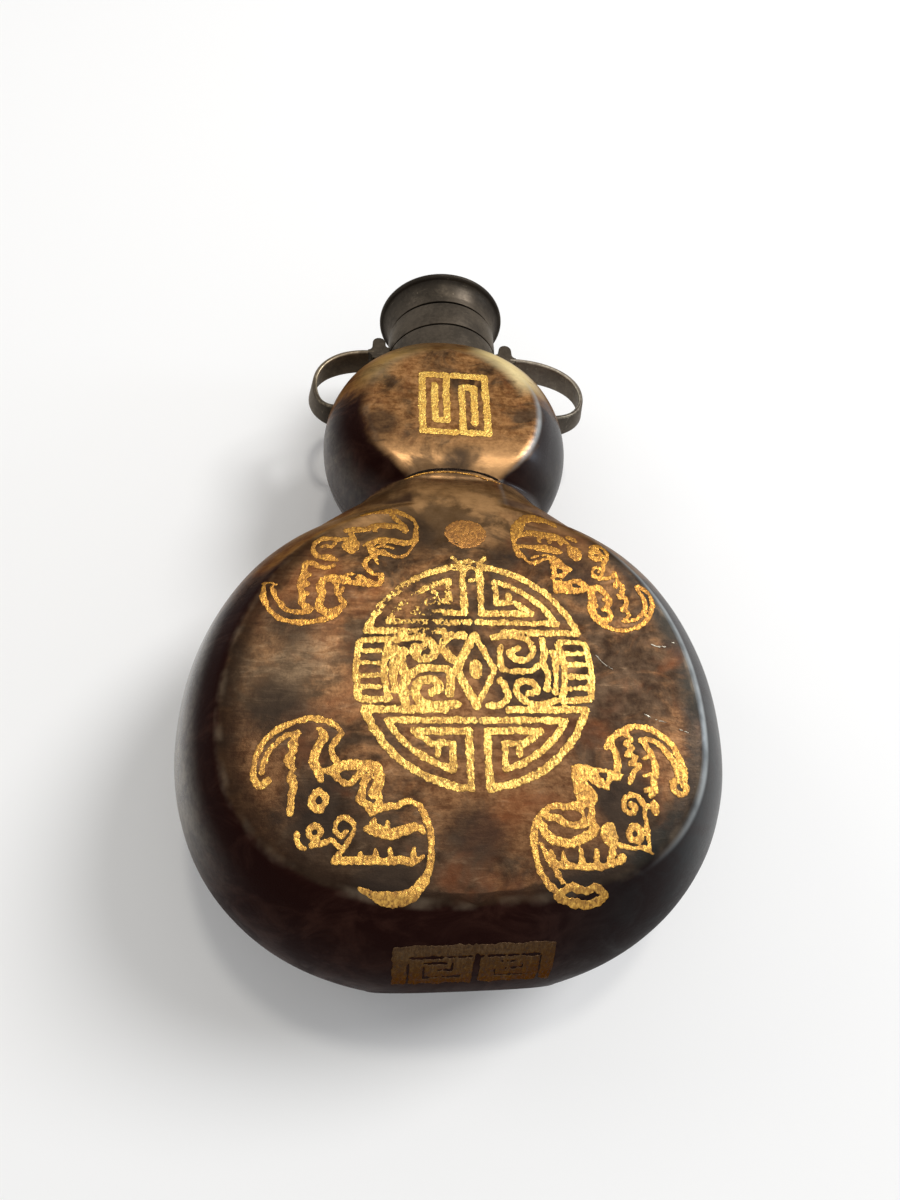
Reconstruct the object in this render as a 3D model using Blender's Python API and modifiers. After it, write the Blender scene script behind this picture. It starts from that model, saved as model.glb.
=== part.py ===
"""A flattened double-gourd flask of cast bronze, with a ringed neck and two ribbon handles.

It lies on its back. X runs across it, Y runs along its axis from the base to the mouth and
Z points out of its front face. The origin is the centre of the lowest face, under the
middle of the flask's length. A "station" below is a distance from the base along Y.
"""

import math

import bmesh
import bpy

# Sizes, in metres.
HALF_DEPTH = 0.0324
WALL = 0.0018
JOINT_GAP = 0.0003
MERGE_DISTANCE = 0.000003
CUT_OVERRUN = 0.0100
SEAM_LAND = 0.0008

# The lower bulb: its outline, and the flat panel on its face.
LOWER_RADIUS = 0.0708
LOWER_STATION = 0.0607
LOWER_PANEL_RADIUS = 0.0558
LOWER_PANEL_DROP = 0.0436
LOWER_SLOPE_RUN = 0.0355

# The waist, where a sharp valley parts the two bulbs.
WAIST_RISE = 0.0683
WAIST_DIP = 0.0023
WAIST_PANEL_HALF_WIDTH = 0.0120

# The upper bulb.
UPPER_RISE = 0.0242
UPPER_RADIUS = 0.0389
UPPER_HALF_DEPTH = 0.0238
UPPER_PANEL_RADIUS = 0.0255
UPPER_PANEL_RISE = 0.0225
UPPER_SLOPE_RUN = 0.0085

# The foot. The curve of the bottom would run on under it and is cut off flat, which leaves
# an oval ring round a hole. A plate fills the hole, and its flange rests inside.
FOOT_UNDERRUN = 0.0019
FOOT_RING_WIDTH = 0.0048
FOOT_RING_DEPTH = 0.0036
FOOT_FLANGE = 0.0024
FOOT_RECESS = 0.0004
FOOT_STEP = 0.0020
FOOT_FLANGE_THICKNESS = 0.0016

# The neck: a collar, a band and a flaring mouth, each stepped into the one below.
NECK_RADIUS = 0.0186
NECK_WALL = 0.0030
STEP_WALL = 0.0016
STEP_DEPTH = 0.0030
COLLAR_SUNK = 0.0098
COLLAR_HEIGHT = 0.0041
BAND_HEIGHT = 0.0103
MOUTH_HEIGHT = 0.0093
MOUTH_STRAIGHT = 0.0018
MOUTH_WAIST_INSET = 0.0004
RIM_FLARE = 0.0032
RIM_WALL = 0.0022
RIM_THICKNESS = 0.0018
RING_EDGE = 0.0006

# The handles: a lug standing against the neck, and a ribbon from it to the bulb's side.
# Their heights are counted up or down from the shoulder, where the neck leaves the bulb.
# The ribbons were bent by hand, and the right one stands out further than the left.
STRAP_WIDTH = 0.0100
STRAP_THICKNESS = 0.0016
STRAP_EDGE = 0.0004
LEFT_STANDOFF = 0.0055
RIGHT_STANDOFF = 0.0100
STRAP_RISE = 0.0045
STRAP_BEND_DROP = 0.0106
STRAP_FOOT_DROP = 0.0204
LUG_WIDTH = 0.0056
LUG_RISE = 0.0100
LUG_FOOT_RISE = 0.0009
LUG_NOTCH_RISE = 0.0057
LUG_LOBE_RADIUS = 0.0016
LUG_LOBE_INSET = 0.0003
LUG_SHOULDER_RISE = 0.0012

# Sizes and stations that follow from those above.
LOWER_DROP = LOWER_STATION + FOOT_UNDERRUN
WAIST_HALF_DEPTH = UPPER_HALF_DEPTH - WAIST_DIP
BORE_RADIUS = NECK_RADIUS - NECK_WALL
STEP_RADIUS = NECK_RADIUS - STEP_WALL
MOUTH_WAIST_RADIUS = NECK_RADIUS - MOUTH_WAIST_INSET
RIM_RADIUS = NECK_RADIUS + RIM_FLARE
RIM_BORE_RADIUS = RIM_RADIUS - RIM_WALL
LUG_OUTER = NECK_RADIUS + LUG_WIDTH
WAIST_STATION = LOWER_STATION + WAIST_RISE
UPPER_STATION = WAIST_STATION + UPPER_RISE
SHOULDER = UPPER_STATION + math.sqrt(UPPER_RADIUS**2 - NECK_RADIUS**2)
BAND_START = SHOULDER + COLLAR_HEIGHT
MOUTH_START = BAND_START + BAND_HEIGHT
LENGTH = MOUTH_START + MOUTH_HEIGHT
STRAP_TOP = SHOULDER + STRAP_RISE
STRAP_BEND = SHOULDER - STRAP_BEND_DROP
STRAP_FOOT = SHOULDER - STRAP_FOOT_DROP

# How full the curves are: 2 is an ellipse, more is squarer.
OUTLINE_FULLNESS = 2.25
PANEL_FULLNESS = 2.5
BEND_FULLNESS = 2.2
OUTLINE_BLEND = 14.0
PANEL_BLEND = 4.0
RIDGE_TURN = math.radians(50.0)

# How finely the surfaces are divided.
BOTTOM_ROWS = 11
LOWER_ROWS = 10
UPPER_ROWS = 6
TOP_ROWS = 9
WALL_COLUMNS = 7
PANEL_COLUMNS = 3
RING_SEGMENTS = 40
BEND_STEPS = 7
FLARE_STEPS = 5
SMOOTH_ANGLE = math.radians(24.0)

BRONZE = (0.105, 0.088, 0.062, 1.0)
BRONZE_DARK = (0.060, 0.055, 0.046, 1.0)
BODY_FRONT = (0.130, 0.085, 0.058, 1.0)
BODY_BACK = (0.085, 0.068, 0.052, 1.0)


def to_y(station):
    return station - LENGTH / 2


def make_material(name, colour, roughness, metallic):
    material = bpy.data.materials.new(name)
    material.use_nodes = True
    shader = material.node_tree.nodes["Principled BSDF"]
    shader.inputs["Base Color"].default_value = colour
    shader.inputs["Roughness"].default_value = roughness
    shader.inputs["Metallic"].default_value = metallic
    material.diffuse_color = colour
    material.roughness = roughness
    material.metallic = metallic
    return material


def add_object(name, data, material, collection):
    made = bpy.data.objects.new(name, data)
    collection.objects.link(made)
    if material:
        data.materials.append(material)
    return made


def shade_round(mesh):
    mesh.shade_smooth()
    mesh.set_sharp_from_angle(angle=SMOOTH_ANGLE)


def add_cutter(name, data, collection):
    cutter = add_object(name, data, None, collection)
    cutter.hide_render = True
    cutter.display_type = "WIRE"
    return cutter


def cut(target, cutter):
    modifier = target.modifiers.new("cut_" + cutter.name, "BOOLEAN")
    modifier.operation = "DIFFERENCE"
    modifier.solver = "EXACT"
    modifier.object = cutter


def bulb_half_width(station, middle, radius):
    reach = radius**2 - (station - middle) ** 2
    return math.sqrt(reach) if reach > 0 else 0.0


def blend_widths(widths, power):
    return sum(width**power for width in widths) ** (1 / power)


def outline_half_width(station):
    lower = bulb_half_width(station, LOWER_STATION, LOWER_RADIUS)
    upper = bulb_half_width(station, UPPER_STATION, UPPER_RADIUS)
    return blend_widths((lower, upper), OUTLINE_BLEND)


def panel_half_width(station):
    lower = bulb_half_width(station, LOWER_STATION, LOWER_PANEL_RADIUS)
    upper = bulb_half_width(station, UPPER_STATION, UPPER_PANEL_RADIUS)
    return blend_widths((lower, upper, WAIST_PANEL_HALF_WIDTH), PANEL_BLEND)


def arc_drop(run, full_run, full_drop):
    """How far an arc has fallen after a run, if it falls full_drop over full_run."""
    radius = (full_run**2 + full_drop**2) / (2 * full_drop)
    return radius - math.sqrt(radius**2 - run**2)


def face_height(station):
    """Height of the face over the seam: two arcs that meet in the waist's valley."""
    if station <= WAIST_STATION:
        run = max(0.0, station - WAIST_STATION + LOWER_SLOPE_RUN)
        return HALF_DEPTH - arc_drop(run, LOWER_SLOPE_RUN, HALF_DEPTH - WAIST_HALF_DEPTH)
    run = max(0.0, WAIST_STATION + UPPER_SLOPE_RUN - station)
    return UPPER_HALF_DEPTH - arc_drop(run, UPPER_SLOPE_RUN, UPPER_HALF_DEPTH - WAIST_HALF_DEPTH)


def body_rows():
    """Rows round half of the front face: outline point, panel point and face height."""
    rows = []
    for index in range(BOTTOM_ROWS):
        turn = math.pi / 2 * (1 - index / BOTTOM_ROWS)
        across, along = math.cos(turn), math.sin(turn)
        outline = (
            LOWER_RADIUS * across ** (2 / OUTLINE_FULLNESS),
            LOWER_STATION - LOWER_DROP * along ** (2 / OUTLINE_FULLNESS),
        )
        panel = (
            panel_half_width(LOWER_STATION) * across ** (2 / PANEL_FULLNESS),
            LOWER_STATION - LOWER_PANEL_DROP * along ** (2 / PANEL_FULLNESS),
        )
        rows.append((outline, panel, HALF_DEPTH))
    stations = []
    for index in range(LOWER_ROWS):
        share = math.sin(math.pi / 2 * index / LOWER_ROWS)
        stations.append(LOWER_STATION + share * (WAIST_STATION - LOWER_STATION))
    for index in range(UPPER_ROWS):
        share = 1 - math.cos(math.pi / 2 * index / UPPER_ROWS)
        stations.append(WAIST_STATION + share * (UPPER_STATION - WAIST_STATION))
    for station in stations:
        outline = (outline_half_width(station), station)
        panel = (panel_half_width(station), station)
        rows.append((outline, panel, face_height(station)))
    for index in range(TOP_ROWS + 1):
        turn = math.pi / 2 * index / TOP_ROWS
        across = math.cos(turn) if index < TOP_ROWS else 0.0
        outline = (UPPER_RADIUS * across, UPPER_STATION + UPPER_RADIUS * math.sin(turn))
        panel = (
            panel_half_width(UPPER_STATION) * across,
            UPPER_STATION + UPPER_PANEL_RISE * math.sin(turn),
        )
        rows.append((outline, panel, UPPER_HALF_DEPTH))
    return rows


def wall_rise(turn, height):
    """Height over the mid-plane of the curved wall, which turns from the seam to the ridge."""
    foot = JOINT_GAP / 2 + SEAM_LAND
    return foot + (height - foot) * math.sin(turn) / math.sin(RIDGE_TURN)


def foot_hole_sizes():
    """Half width and half depth of the hole inside the foot's ring."""
    along = (LOWER_STATION / LOWER_DROP) ** (OUTLINE_FULLNESS / 2)
    flat_half_width = LOWER_RADIUS * (1 - along**2) ** (1 / OUTLINE_FULLNESS)
    panel_bottom = LOWER_STATION - LOWER_PANEL_DROP
    out = panel_bottom / (panel_bottom + FOOT_UNDERRUN)
    turn = math.acos(math.cos(RIDGE_TURN) + (1 - math.cos(RIDGE_TURN)) * out)
    flat_half_depth = wall_rise(turn, HALF_DEPTH)
    return flat_half_width - FOOT_RING_WIDTH, flat_half_depth - FOOT_RING_DEPTH


def row_points(outline, panel, height):
    """One row, from the seam up the curved wall to the ridge, then in to the middle line."""
    points = [(outline[0], outline[1], JOINT_GAP / 2)]
    for index in range(WALL_COLUMNS + 1):
        turn = RIDGE_TURN * index / WALL_COLUMNS
        out = (math.cos(turn) - math.cos(RIDGE_TURN)) / (1 - math.cos(RIDGE_TURN))
        points.append(
            (
                panel[0] + (outline[0] - panel[0]) * out,
                panel[1] + (outline[1] - panel[1]) * out,
                wall_rise(turn, height),
            )
        )
    for index in range(1, PANEL_COLUMNS + 1):
        points.append((panel[0] * (1 - index / PANEL_COLUMNS), panel[1], height))
    return points


def half_shell_mesh(name, side):
    """The loft over one half of the flask, from the middle line to one edge."""
    build = bmesh.new()
    grid = []
    for outline, panel, height in body_rows():
        row = []
        for across, station, rise in row_points(outline, panel, height):
            row.append(build.verts.new((across, to_y(station), HALF_DEPTH + side * rise)))
        grid.append(row)
    for first, second in zip(grid, grid[1:]):
        for column in range(len(first) - 1):
            corners = [first[column], second[column], second[column + 1], first[column + 1]]
            if side < 0:
                corners.reverse()
            build.faces.new(corners)
    bmesh.ops.remove_doubles(build, verts=build.verts, dist=MERGE_DISTANCE)
    mesh = bpy.data.meshes.new(name)
    build.to_mesh(mesh)
    build.free()
    return mesh


def box_cutter(name, size, centre, collection):
    build = bmesh.new()
    bmesh.ops.create_cube(build, size=1.0)
    bmesh.ops.scale(build, vec=size, verts=build.verts)
    bmesh.ops.translate(build, vec=centre, verts=build.verts)
    mesh = bpy.data.meshes.new(name)
    build.to_mesh(mesh)
    build.free()
    return add_cutter(name, mesh, collection)


def round_cutter(name, half_width, half_depth, start, end, collection):
    """An upright oval column along the flask's axis, from one station to another."""
    build = bmesh.new()
    bmesh.ops.create_cone(
        build, cap_ends=True, segments=RING_SEGMENTS, radius1=1.0, radius2=1.0, depth=end - start
    )
    for vertex in build.verts:
        across, deep, along = vertex.co
        middle = to_y((start + end) / 2)
        vertex.co = (across * half_width, middle + along, HALF_DEPTH - deep * half_depth)
    mesh = bpy.data.meshes.new(name)
    build.to_mesh(mesh)
    build.free()
    return add_cutter(name, mesh, collection)


def make_half_shell(name, side, material, cutters, collection):
    mesh = half_shell_mesh(name, side)
    shell = add_object(name, mesh, material, collection)
    mirror = shell.modifiers.new("other_side", "MIRROR")
    mirror.merge_threshold = MERGE_DISTANCE
    solidify = shell.modifiers.new("wall", "SOLIDIFY")
    solidify.thickness = WALL
    solidify.offset = -1.0
    solidify.use_even_offset = True
    for cutter in cutters:
        cut(shell, cutter)
    shade_round(mesh)
    return shell


def make_turned(name, profile, depth_share, material, collection):
    """A profile of (radius, station) turned about the flask's axis, then flattened to an oval."""
    build = bmesh.new()
    count = len(profile)
    corners = [build.verts.new((radius, to_y(station), 0)) for radius, station in profile]
    closed = profile[0][0] > 0
    for index in range(count if closed else count - 1):
        build.edges.new((corners[index], corners[(index + 1) % count]))
    mesh = bpy.data.meshes.new(name)
    build.to_mesh(mesh)
    build.free()
    turned = add_object(name, mesh, material, collection)
    turned.location = (0, 0, HALF_DEPTH)
    turned.scale = (1, 1, depth_share)
    screw = turned.modifiers.new("turn", "SCREW")
    screw.axis = "Y"
    screw.angle = math.tau
    screw.steps = RING_SEGMENTS
    screw.render_steps = RING_SEGMENTS
    screw.use_merge_vertices = True
    screw.merge_threshold = MERGE_DISTANCE
    screw.use_smooth_shade = True
    return turned


def arc(centre, radius, start_degrees, end_degrees, steps):
    points = []
    for index in range(steps + 1):
        turn = math.radians(start_degrees + (end_degrees - start_degrees) * index / steps)
        points.append((centre[0] + radius * math.cos(turn), centre[1] + radius * math.sin(turn)))
    return points


def collar_profile():
    """Top to bottom down the outside, with a counterbore for the band's step."""
    top = BAND_START - JOINT_GAP / 2
    bottom = SHOULDER - COLLAR_SUNK
    edge = RING_EDGE
    return (
        [(STEP_RADIUS, top)]
        + arc((NECK_RADIUS - edge, top - edge), edge, 90, 0, 3)
        + [
            (NECK_RADIUS, bottom + edge),
            (NECK_RADIUS - edge, bottom),
            (BORE_RADIUS, bottom),
            (BORE_RADIUS, top - STEP_DEPTH),
            (STEP_RADIUS, top - STEP_DEPTH),
        ]
    )


def band_profile():
    top = MOUTH_START - JOINT_GAP / 2
    bottom = BAND_START + JOINT_GAP / 2
    spigot = STEP_RADIUS - JOINT_GAP
    edge = RING_EDGE
    return (
        [(STEP_RADIUS, top)]
        + arc((NECK_RADIUS - edge, top - edge), edge, 90, 0, 3)
        + arc((NECK_RADIUS - edge, bottom + edge), edge, 0, -90, 3)
        + [
            (spigot, bottom),
            (spigot, bottom - STEP_DEPTH + JOINT_GAP),
            (BORE_RADIUS, bottom - STEP_DEPTH + JOINT_GAP),
            (BORE_RADIUS, top - STEP_DEPTH),
            (STEP_RADIUS, top - STEP_DEPTH),
        ]
    )


def mouth_profile():
    """The mouth flares in a curve to a thin rounded lip, and its bore opens with it."""
    bottom = MOUTH_START + JOINT_GAP / 2
    spigot = STEP_RADIUS - JOINT_GAP
    edge = RING_EDGE
    lip = RIM_THICKNESS / 2
    rim = (RIM_RADIUS - lip, LENGTH - lip)
    flare = rim[0] - MOUTH_WAIST_RADIUS
    flare_height = LENGTH - RIM_THICKNESS - bottom - MOUTH_STRAIGHT
    outer = []
    inner = []
    for index in range(FLARE_STEPS + 1):
        share = index / FLARE_STEPS
        outer.append((rim[0] - flare * share, LENGTH - RIM_THICKNESS - flare_height * share**2))
        bore = RIM_BORE_RADIUS - (RIM_BORE_RADIUS - BORE_RADIUS) * share
        inner.append((bore, LENGTH - (LENGTH - bottom) * share**2))
    return (
        arc(rim, lip, 90, -60, 5)
        + outer[1:]
        + arc((MOUTH_WAIST_RADIUS - edge, bottom + edge), edge, 0, -90, 3)
        + [
            (spigot, bottom),
            (spigot, bottom - STEP_DEPTH + JOINT_GAP),
            (BORE_RADIUS, bottom - STEP_DEPTH + JOINT_GAP),
        ]
        + inner[::-1]
    )


def foot_profile(half_width):
    """An oval plug, flush with the foot but for a slight recess."""
    plug = half_width - JOINT_GAP
    flange = half_width + FOOT_FLANGE
    seat = FOOT_RECESS + FOOT_STEP
    top = seat + FOOT_FLANGE_THICKNESS
    return [
        (0.0, top),
        (flange, top),
        (flange, seat),
        (plug, seat),
        (plug, FOOT_RECESS),
        (0.0, FOOT_RECESS),
    ]


def flat_piece(name, outline, side, material, collection):
    """A closed outline of (distance from the axis, station), as thick as the strap is wide."""
    data = bpy.data.curves.new(name, "CURVE")
    data.dimensions = "2D"
    data.fill_mode = "BOTH"
    data.extrude = STRAP_WIDTH / 2 - STRAP_EDGE
    data.bevel_depth = STRAP_EDGE
    data.bevel_resolution = 1
    data.offset = -STRAP_EDGE
    spline = data.splines.new("POLY")
    spline.points.add(len(outline) - 1)
    for point, (across, station) in zip(spline.points, outline):
        point.co = (side * across, to_y(station), 0, 1)
    spline.use_cyclic_u = True
    piece = add_object(name, data, material, collection)
    piece.location = (0, 0, HALF_DEPTH)
    weld = piece.modifiers.new("close_caps", "WELD")
    weld.merge_threshold = MERGE_DISTANCE
    return piece


def strap_centre_line(standoff):
    """From the lug outward, round the shoulder of the bend and down to the bulb's side."""
    half = STRAP_THICKNESS / 2
    reach = UPPER_RADIUS + standoff - half
    level = STRAP_TOP - half
    start = LUG_OUTER + JOINT_GAP
    foot_x = outline_half_width(STRAP_FOOT - half) + JOINT_GAP
    upper_width = reach - start
    upper_rise = level - STRAP_BEND
    lower_rise = STRAP_BEND - STRAP_FOOT
    lower_width = reach - foot_x
    points = []
    for index in range(BEND_STEPS + 1):
        turn = math.pi / 2 * (1 - index / BEND_STEPS)
        across = math.cos(turn) ** (2 / BEND_FULLNESS)
        along = math.sin(turn) ** (2 / BEND_FULLNESS)
        points.append((start + upper_width * across, STRAP_BEND + upper_rise * along))
    for index in range(1, BEND_STEPS + 1):
        turn = math.pi / 2 * index / BEND_STEPS
        across = foot_x + lower_width * math.cos(turn)
        points.append((across, STRAP_BEND - lower_rise * math.sin(turn)))
    return points


def thicken(line, half):
    """The outline of a ribbon seen on edge: its centre line offset to both sides."""
    left, right = [], []
    for index, (across, along) in enumerate(line):
        before = line[max(0, index - 1)]
        after = line[min(len(line) - 1, index + 1)]
        run, rise = after[0] - before[0], after[1] - before[1]
        if index == len(line) - 1 or index == 0:
            run, rise = math.copysign(1.0, run), 0.0
        length = math.hypot(run, rise)
        left.append((across - rise / length * half, along + run / length * half))
        right.append((across + rise / length * half, along - run / length * half))
    return left + right[::-1]


def lug_outline():
    """A lobe standing beside the neck, with a hollow between the two."""
    near = NECK_RADIUS + JOINT_GAP
    lobe_x = LUG_OUTER - LUG_LOBE_INSET - LUG_LOBE_RADIUS
    crown = arc((lobe_x, SHOULDER + LUG_RISE - LUG_LOBE_RADIUS), LUG_LOBE_RADIUS, 180, 0, 6)
    hollow_radius = lobe_x - LUG_LOBE_RADIUS - near
    hollow = arc((near, SHOULDER + LUG_NOTCH_RISE + hollow_radius), hollow_radius, -90, 0, 4)
    foot = SHOULDER + LUG_FOOT_RISE
    outside = [(LUG_OUTER, STRAP_TOP + LUG_SHOULDER_RISE), (LUG_OUTER, foot)]
    return [(near, foot)] + hollow + crown + outside


for old in list(bpy.data.objects):
    bpy.data.objects.remove(old, do_unlink=True)

flask = bpy.data.collections.new("double_gourd_flask")
tools = bpy.data.collections.new("cutters")
bpy.context.scene.collection.children.link(flask)
bpy.context.scene.collection.children.link(tools)

front_bronze = make_material("front_patina", BODY_FRONT, 0.34, 0.9)
back_bronze = make_material("back_patina", BODY_BACK, 0.38, 0.9)
neck_bronze = make_material("neck_bronze", BRONZE, 0.42, 0.9)
handle_bronze = make_material("handle_bronze", BRONZE, 0.45, 0.9)
foot_bronze = make_material("foot_bronze", BRONZE_DARK, 0.5, 0.9)

under_foot = box_cutter(
    "under_foot",
    (LOWER_RADIUS * 2, LOWER_DROP, HALF_DEPTH * 4),
    (0, to_y(-LOWER_DROP / 2), HALF_DEPTH),
    tools,
)
hole_width, hole_depth = foot_hole_sizes()
foot_hole = round_cutter("foot_hole", hole_width, hole_depth, -CUT_OVERRUN, CUT_OVERRUN, tools)
hole_radius = NECK_RADIUS + JOINT_GAP
neck_hole = round_cutter("neck_hole", hole_radius, hole_radius, UPPER_STATION, LENGTH, tools)

make_half_shell("front_shell", 1, front_bronze, (under_foot, foot_hole, neck_hole), flask)
make_half_shell("back_shell", -1, back_bronze, (under_foot, foot_hole, neck_hole), flask)
make_turned("foot_plate", foot_profile(hole_width), hole_depth / hole_width, foot_bronze, flask)
make_turned("neck_collar", collar_profile(), 1, neck_bronze, flask)
make_turned("neck_band", band_profile(), 1, neck_bronze, flask)
make_turned("mouth_lip", mouth_profile(), 1, neck_bronze, flask)
for label, side, standoff in (("left", -1, LEFT_STANDOFF), ("right", 1, RIGHT_STANDOFF)):
    flat_piece(label + "_lug", lug_outline(), side, handle_bronze, flask)
    ribbon = thicken(strap_centre_line(standoff), STRAP_THICKNESS / 2)
    flat_piece(label + "_handle", ribbon, side, handle_bronze, flask)
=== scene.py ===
"""Looks for a flattened double-gourd flask of patinated bronze with gilt ornament.

It lies on its back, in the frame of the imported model: X runs across it, Y from foot to
mouth, and Z out of its face. A "station" is a distance from the foot along Y. Metres.
"""

import math

import bmesh
import bpy
import numpy as np
from mathutils import Matrix, Vector, noise
from mathutils.bvhtree import BVHTree


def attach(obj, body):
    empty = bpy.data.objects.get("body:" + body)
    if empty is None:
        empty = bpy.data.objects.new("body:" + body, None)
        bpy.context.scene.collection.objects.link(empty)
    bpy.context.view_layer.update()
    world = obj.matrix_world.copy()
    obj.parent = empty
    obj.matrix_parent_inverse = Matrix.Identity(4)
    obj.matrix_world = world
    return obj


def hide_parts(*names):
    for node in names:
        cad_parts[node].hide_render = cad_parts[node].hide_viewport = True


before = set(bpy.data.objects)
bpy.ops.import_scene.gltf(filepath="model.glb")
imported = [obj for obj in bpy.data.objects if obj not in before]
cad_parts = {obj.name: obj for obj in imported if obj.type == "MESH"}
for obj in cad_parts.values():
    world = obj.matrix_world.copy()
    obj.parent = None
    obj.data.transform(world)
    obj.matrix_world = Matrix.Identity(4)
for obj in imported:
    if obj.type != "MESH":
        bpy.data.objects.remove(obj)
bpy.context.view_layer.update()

# ---------------------------------------------------------------- the table and the light
# The flask lies on a plain pale table, seen from close over its foot end. A broad lamp stands
# on its right, towards the mouth, and a small one hangs over it. A window's cool light comes
# in low from the right, and a weak lamp fills from the left.

EYE = (-0.023008, -0.091670, 0.219209)
EYE_RIGHT = (0.993354, -0.027755, 0.111829)
EYE_UP = (-0.021842, 0.907643, 0.419175)
EYE_LENS = 21.0
EYE_SENSOR = 36.0
EYE_CLIP = (0.01, 20.0)
FLOOR_HALF = 3.0
FLOOR_SHADE = 0.89
KEY_LAMP = {"place": (1.16, 0.62, 1.50), "size": 0.82, "power": 23.7, "colour": (1.0, 1.0, 1.0)}
HIGH_LAMP = {"place": (0.03, 0.25, 0.95), "size": 0.10, "power": 1.4, "colour": (1.0, 0.96, 0.88)}
WINDOW_LAMP = {"place": (1.5, 0.16, 0.55), "size": 0.36, "power": 2.2, "colour": (0.72, 0.84, 1.0)}
FILL_LAMP = {"place": (-0.72, 0.34, 0.60), "size": 0.30, "power": 0.7, "colour": (1.0, 0.98, 0.94)}
SKY_SHADE = 0.46
SKY_SEEN = 0.95

camera_data = bpy.data.cameras.new("camera")
camera_data.lens = EYE_LENS
camera_data.sensor_width = EYE_SENSOR
camera_data.clip_start, camera_data.clip_end = EYE_CLIP
camera = bpy.data.objects.new("camera", camera_data)
bpy.context.scene.collection.objects.link(camera)
eye_right, eye_up = Vector(EYE_RIGHT).normalized(), Vector(EYE_UP).normalized()
eye_back = eye_right.cross(eye_up)
camera.matrix_world = Matrix(
    (
        (eye_right.x, eye_up.x, eye_back.x, EYE[0]),
        (eye_right.y, eye_up.y, eye_back.y, EYE[1]),
        (eye_right.z, eye_up.z, eye_back.z, EYE[2]),
        (0, 0, 0, 1),
    )
)
bpy.context.scene.camera = camera


def add_lamp(name, place, size, power, colour):
    lamp_data = bpy.data.lights.new(name, "AREA")
    lamp_data.shape = "DISK"
    lamp_data.size = size
    lamp_data.energy = power
    lamp_data.color = colour
    lamp = bpy.data.objects.new(name, lamp_data)
    bpy.context.scene.collection.objects.link(lamp)
    lamp.location = place
    lamp.rotation_mode = "QUATERNION"
    lamp.rotation_quaternion = (-Vector(place)).to_track_quat("-Z", "Y")


add_lamp("key_lamp", **KEY_LAMP)
add_lamp("high_lamp", **HIGH_LAMP)
add_lamp("window_lamp", **WINDOW_LAMP)
add_lamp("fill_lamp", **FILL_LAMP)


class Tint:
    """One output of a node, so that sums on shader values read as plain sums."""

    def __init__(self, finish, socket):
        self.finish = finish
        self.socket = socket

    def maths(self, operation, first, second):
        return self.finish.node("ShaderNodeMath", {"operation": operation}, {0: first, 1: second})

    def __add__(self, other):
        return self.maths("ADD", self, other)

    def __radd__(self, other):
        return self.maths("ADD", other, self)

    def __sub__(self, other):
        return self.maths("SUBTRACT", self, other)

    def __rsub__(self, other):
        return self.maths("SUBTRACT", other, self)

    def __mul__(self, other):
        return self.maths("MULTIPLY", self, other)

    def __rmul__(self, other):
        return self.maths("MULTIPLY", other, self)

    def at_most(self, other):
        return self.maths("MINIMUM", self, other)

    def at_least(self, other):
        return self.maths("MAXIMUM", self, other)


class Finish:
    """A node material or world that is being mixed."""

    def __init__(self, name, owner=None):
        self.owner = owner or bpy.data.materials.new(name)
        self.owner.use_nodes = True
        self.tree = self.owner.node_tree
        self.tree.nodes.clear()

    def node(self, kind, settings=None, sockets=None, output=0):
        made = self.tree.nodes.new(kind)
        for name, value in (settings or {}).items():
            setattr(made, name, value)
        for name, value in (sockets or {}).items():
            if isinstance(value, Tint):
                self.tree.links.new(value.socket, made.inputs[name])
            else:
                made.inputs[name].default_value = value
        return Tint(self, made.outputs[output]) if made.outputs else None

    def place(self):
        return self.node("ShaderNodeTexCoord", output="Object")

    def stretched(self, place, scale, turn=0.0):
        return self.node(
            "ShaderNodeMapping",
            {},
            {"Vector": place, "Scale": scale, "Rotation": (0, 0, turn)},
        )

    def cloud(self, place, size, detail=4.0, rough=0.55, distort=0.0):
        """Soft noise with blotches of about the given size, from 0 to 1."""
        return self.node(
            "ShaderNodeTexNoise",
            {"noise_dimensions": "3D"},
            {
                "Vector": place,
                "Scale": 1.0 / size,
                "Detail": detail,
                "Roughness": rough,
                "Distortion": distort,
            },
        )

    def cell_edges(self, place, size):
        """How far it is to the nearest edge of a net of cells of about the given size."""
        return self.node(
            "ShaderNodeTexVoronoi",
            {"feature": "DISTANCE_TO_EDGE"},
            {"Vector": place, "Scale": 1.0 / size},
        )

    def window(self, value, low, high, start=0.0, end=1.0):
        """The value turned smoothly from start to end as it goes from low to high."""
        return self.node(
            "ShaderNodeMapRange",
            {"interpolation_type": "SMOOTHSTEP", "clamp": True},
            {"Value": value, "From Min": low, "From Max": high, "To Min": start, "To Max": end},
        )

    def blend(self, share, under, over):
        """A colour mixed from two, by a share from 0 to 1."""
        return self.node(
            "ShaderNodeMix",
            {"data_type": "RGBA", "clamp_factor": True},
            {
                0: share,
                6: (*under, 1.0) if isinstance(under, tuple) else under,
                7: (*over, 1.0) if isinstance(over, tuple) else over,
            },
            output=2,
        )

    def level(self, place, axis):
        """How far along one axis a place lies: 0 is across the flask, 1 towards its mouth."""
        return self.node("ShaderNodeSeparateXYZ", {}, {"Vector": place}, output=axis)

    def mark(self, name):
        """A value kept on the mesh's points."""
        return self.node("ShaderNodeAttribute", {"attribute_name": name}, output="Fac")

    def bump(self, height, distance, strength=1.0, under=None):
        sockets = {"Height": height, "Distance": distance, "Strength": strength}
        if under is not None:
            sockets["Normal"] = under
        return self.node("ShaderNodeBump", {}, sockets)

    def skin(self, **sockets):
        """Joins the sockets, spelt with underscores for spaces, to the surface."""
        named = {name.replace("_", " "): value for name, value in sockets.items()}
        shader = self.node("ShaderNodeBsdfPrincipled", {}, named)
        self.node("ShaderNodeOutputMaterial", {}, {"Surface": shader})
        return self.owner


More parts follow.
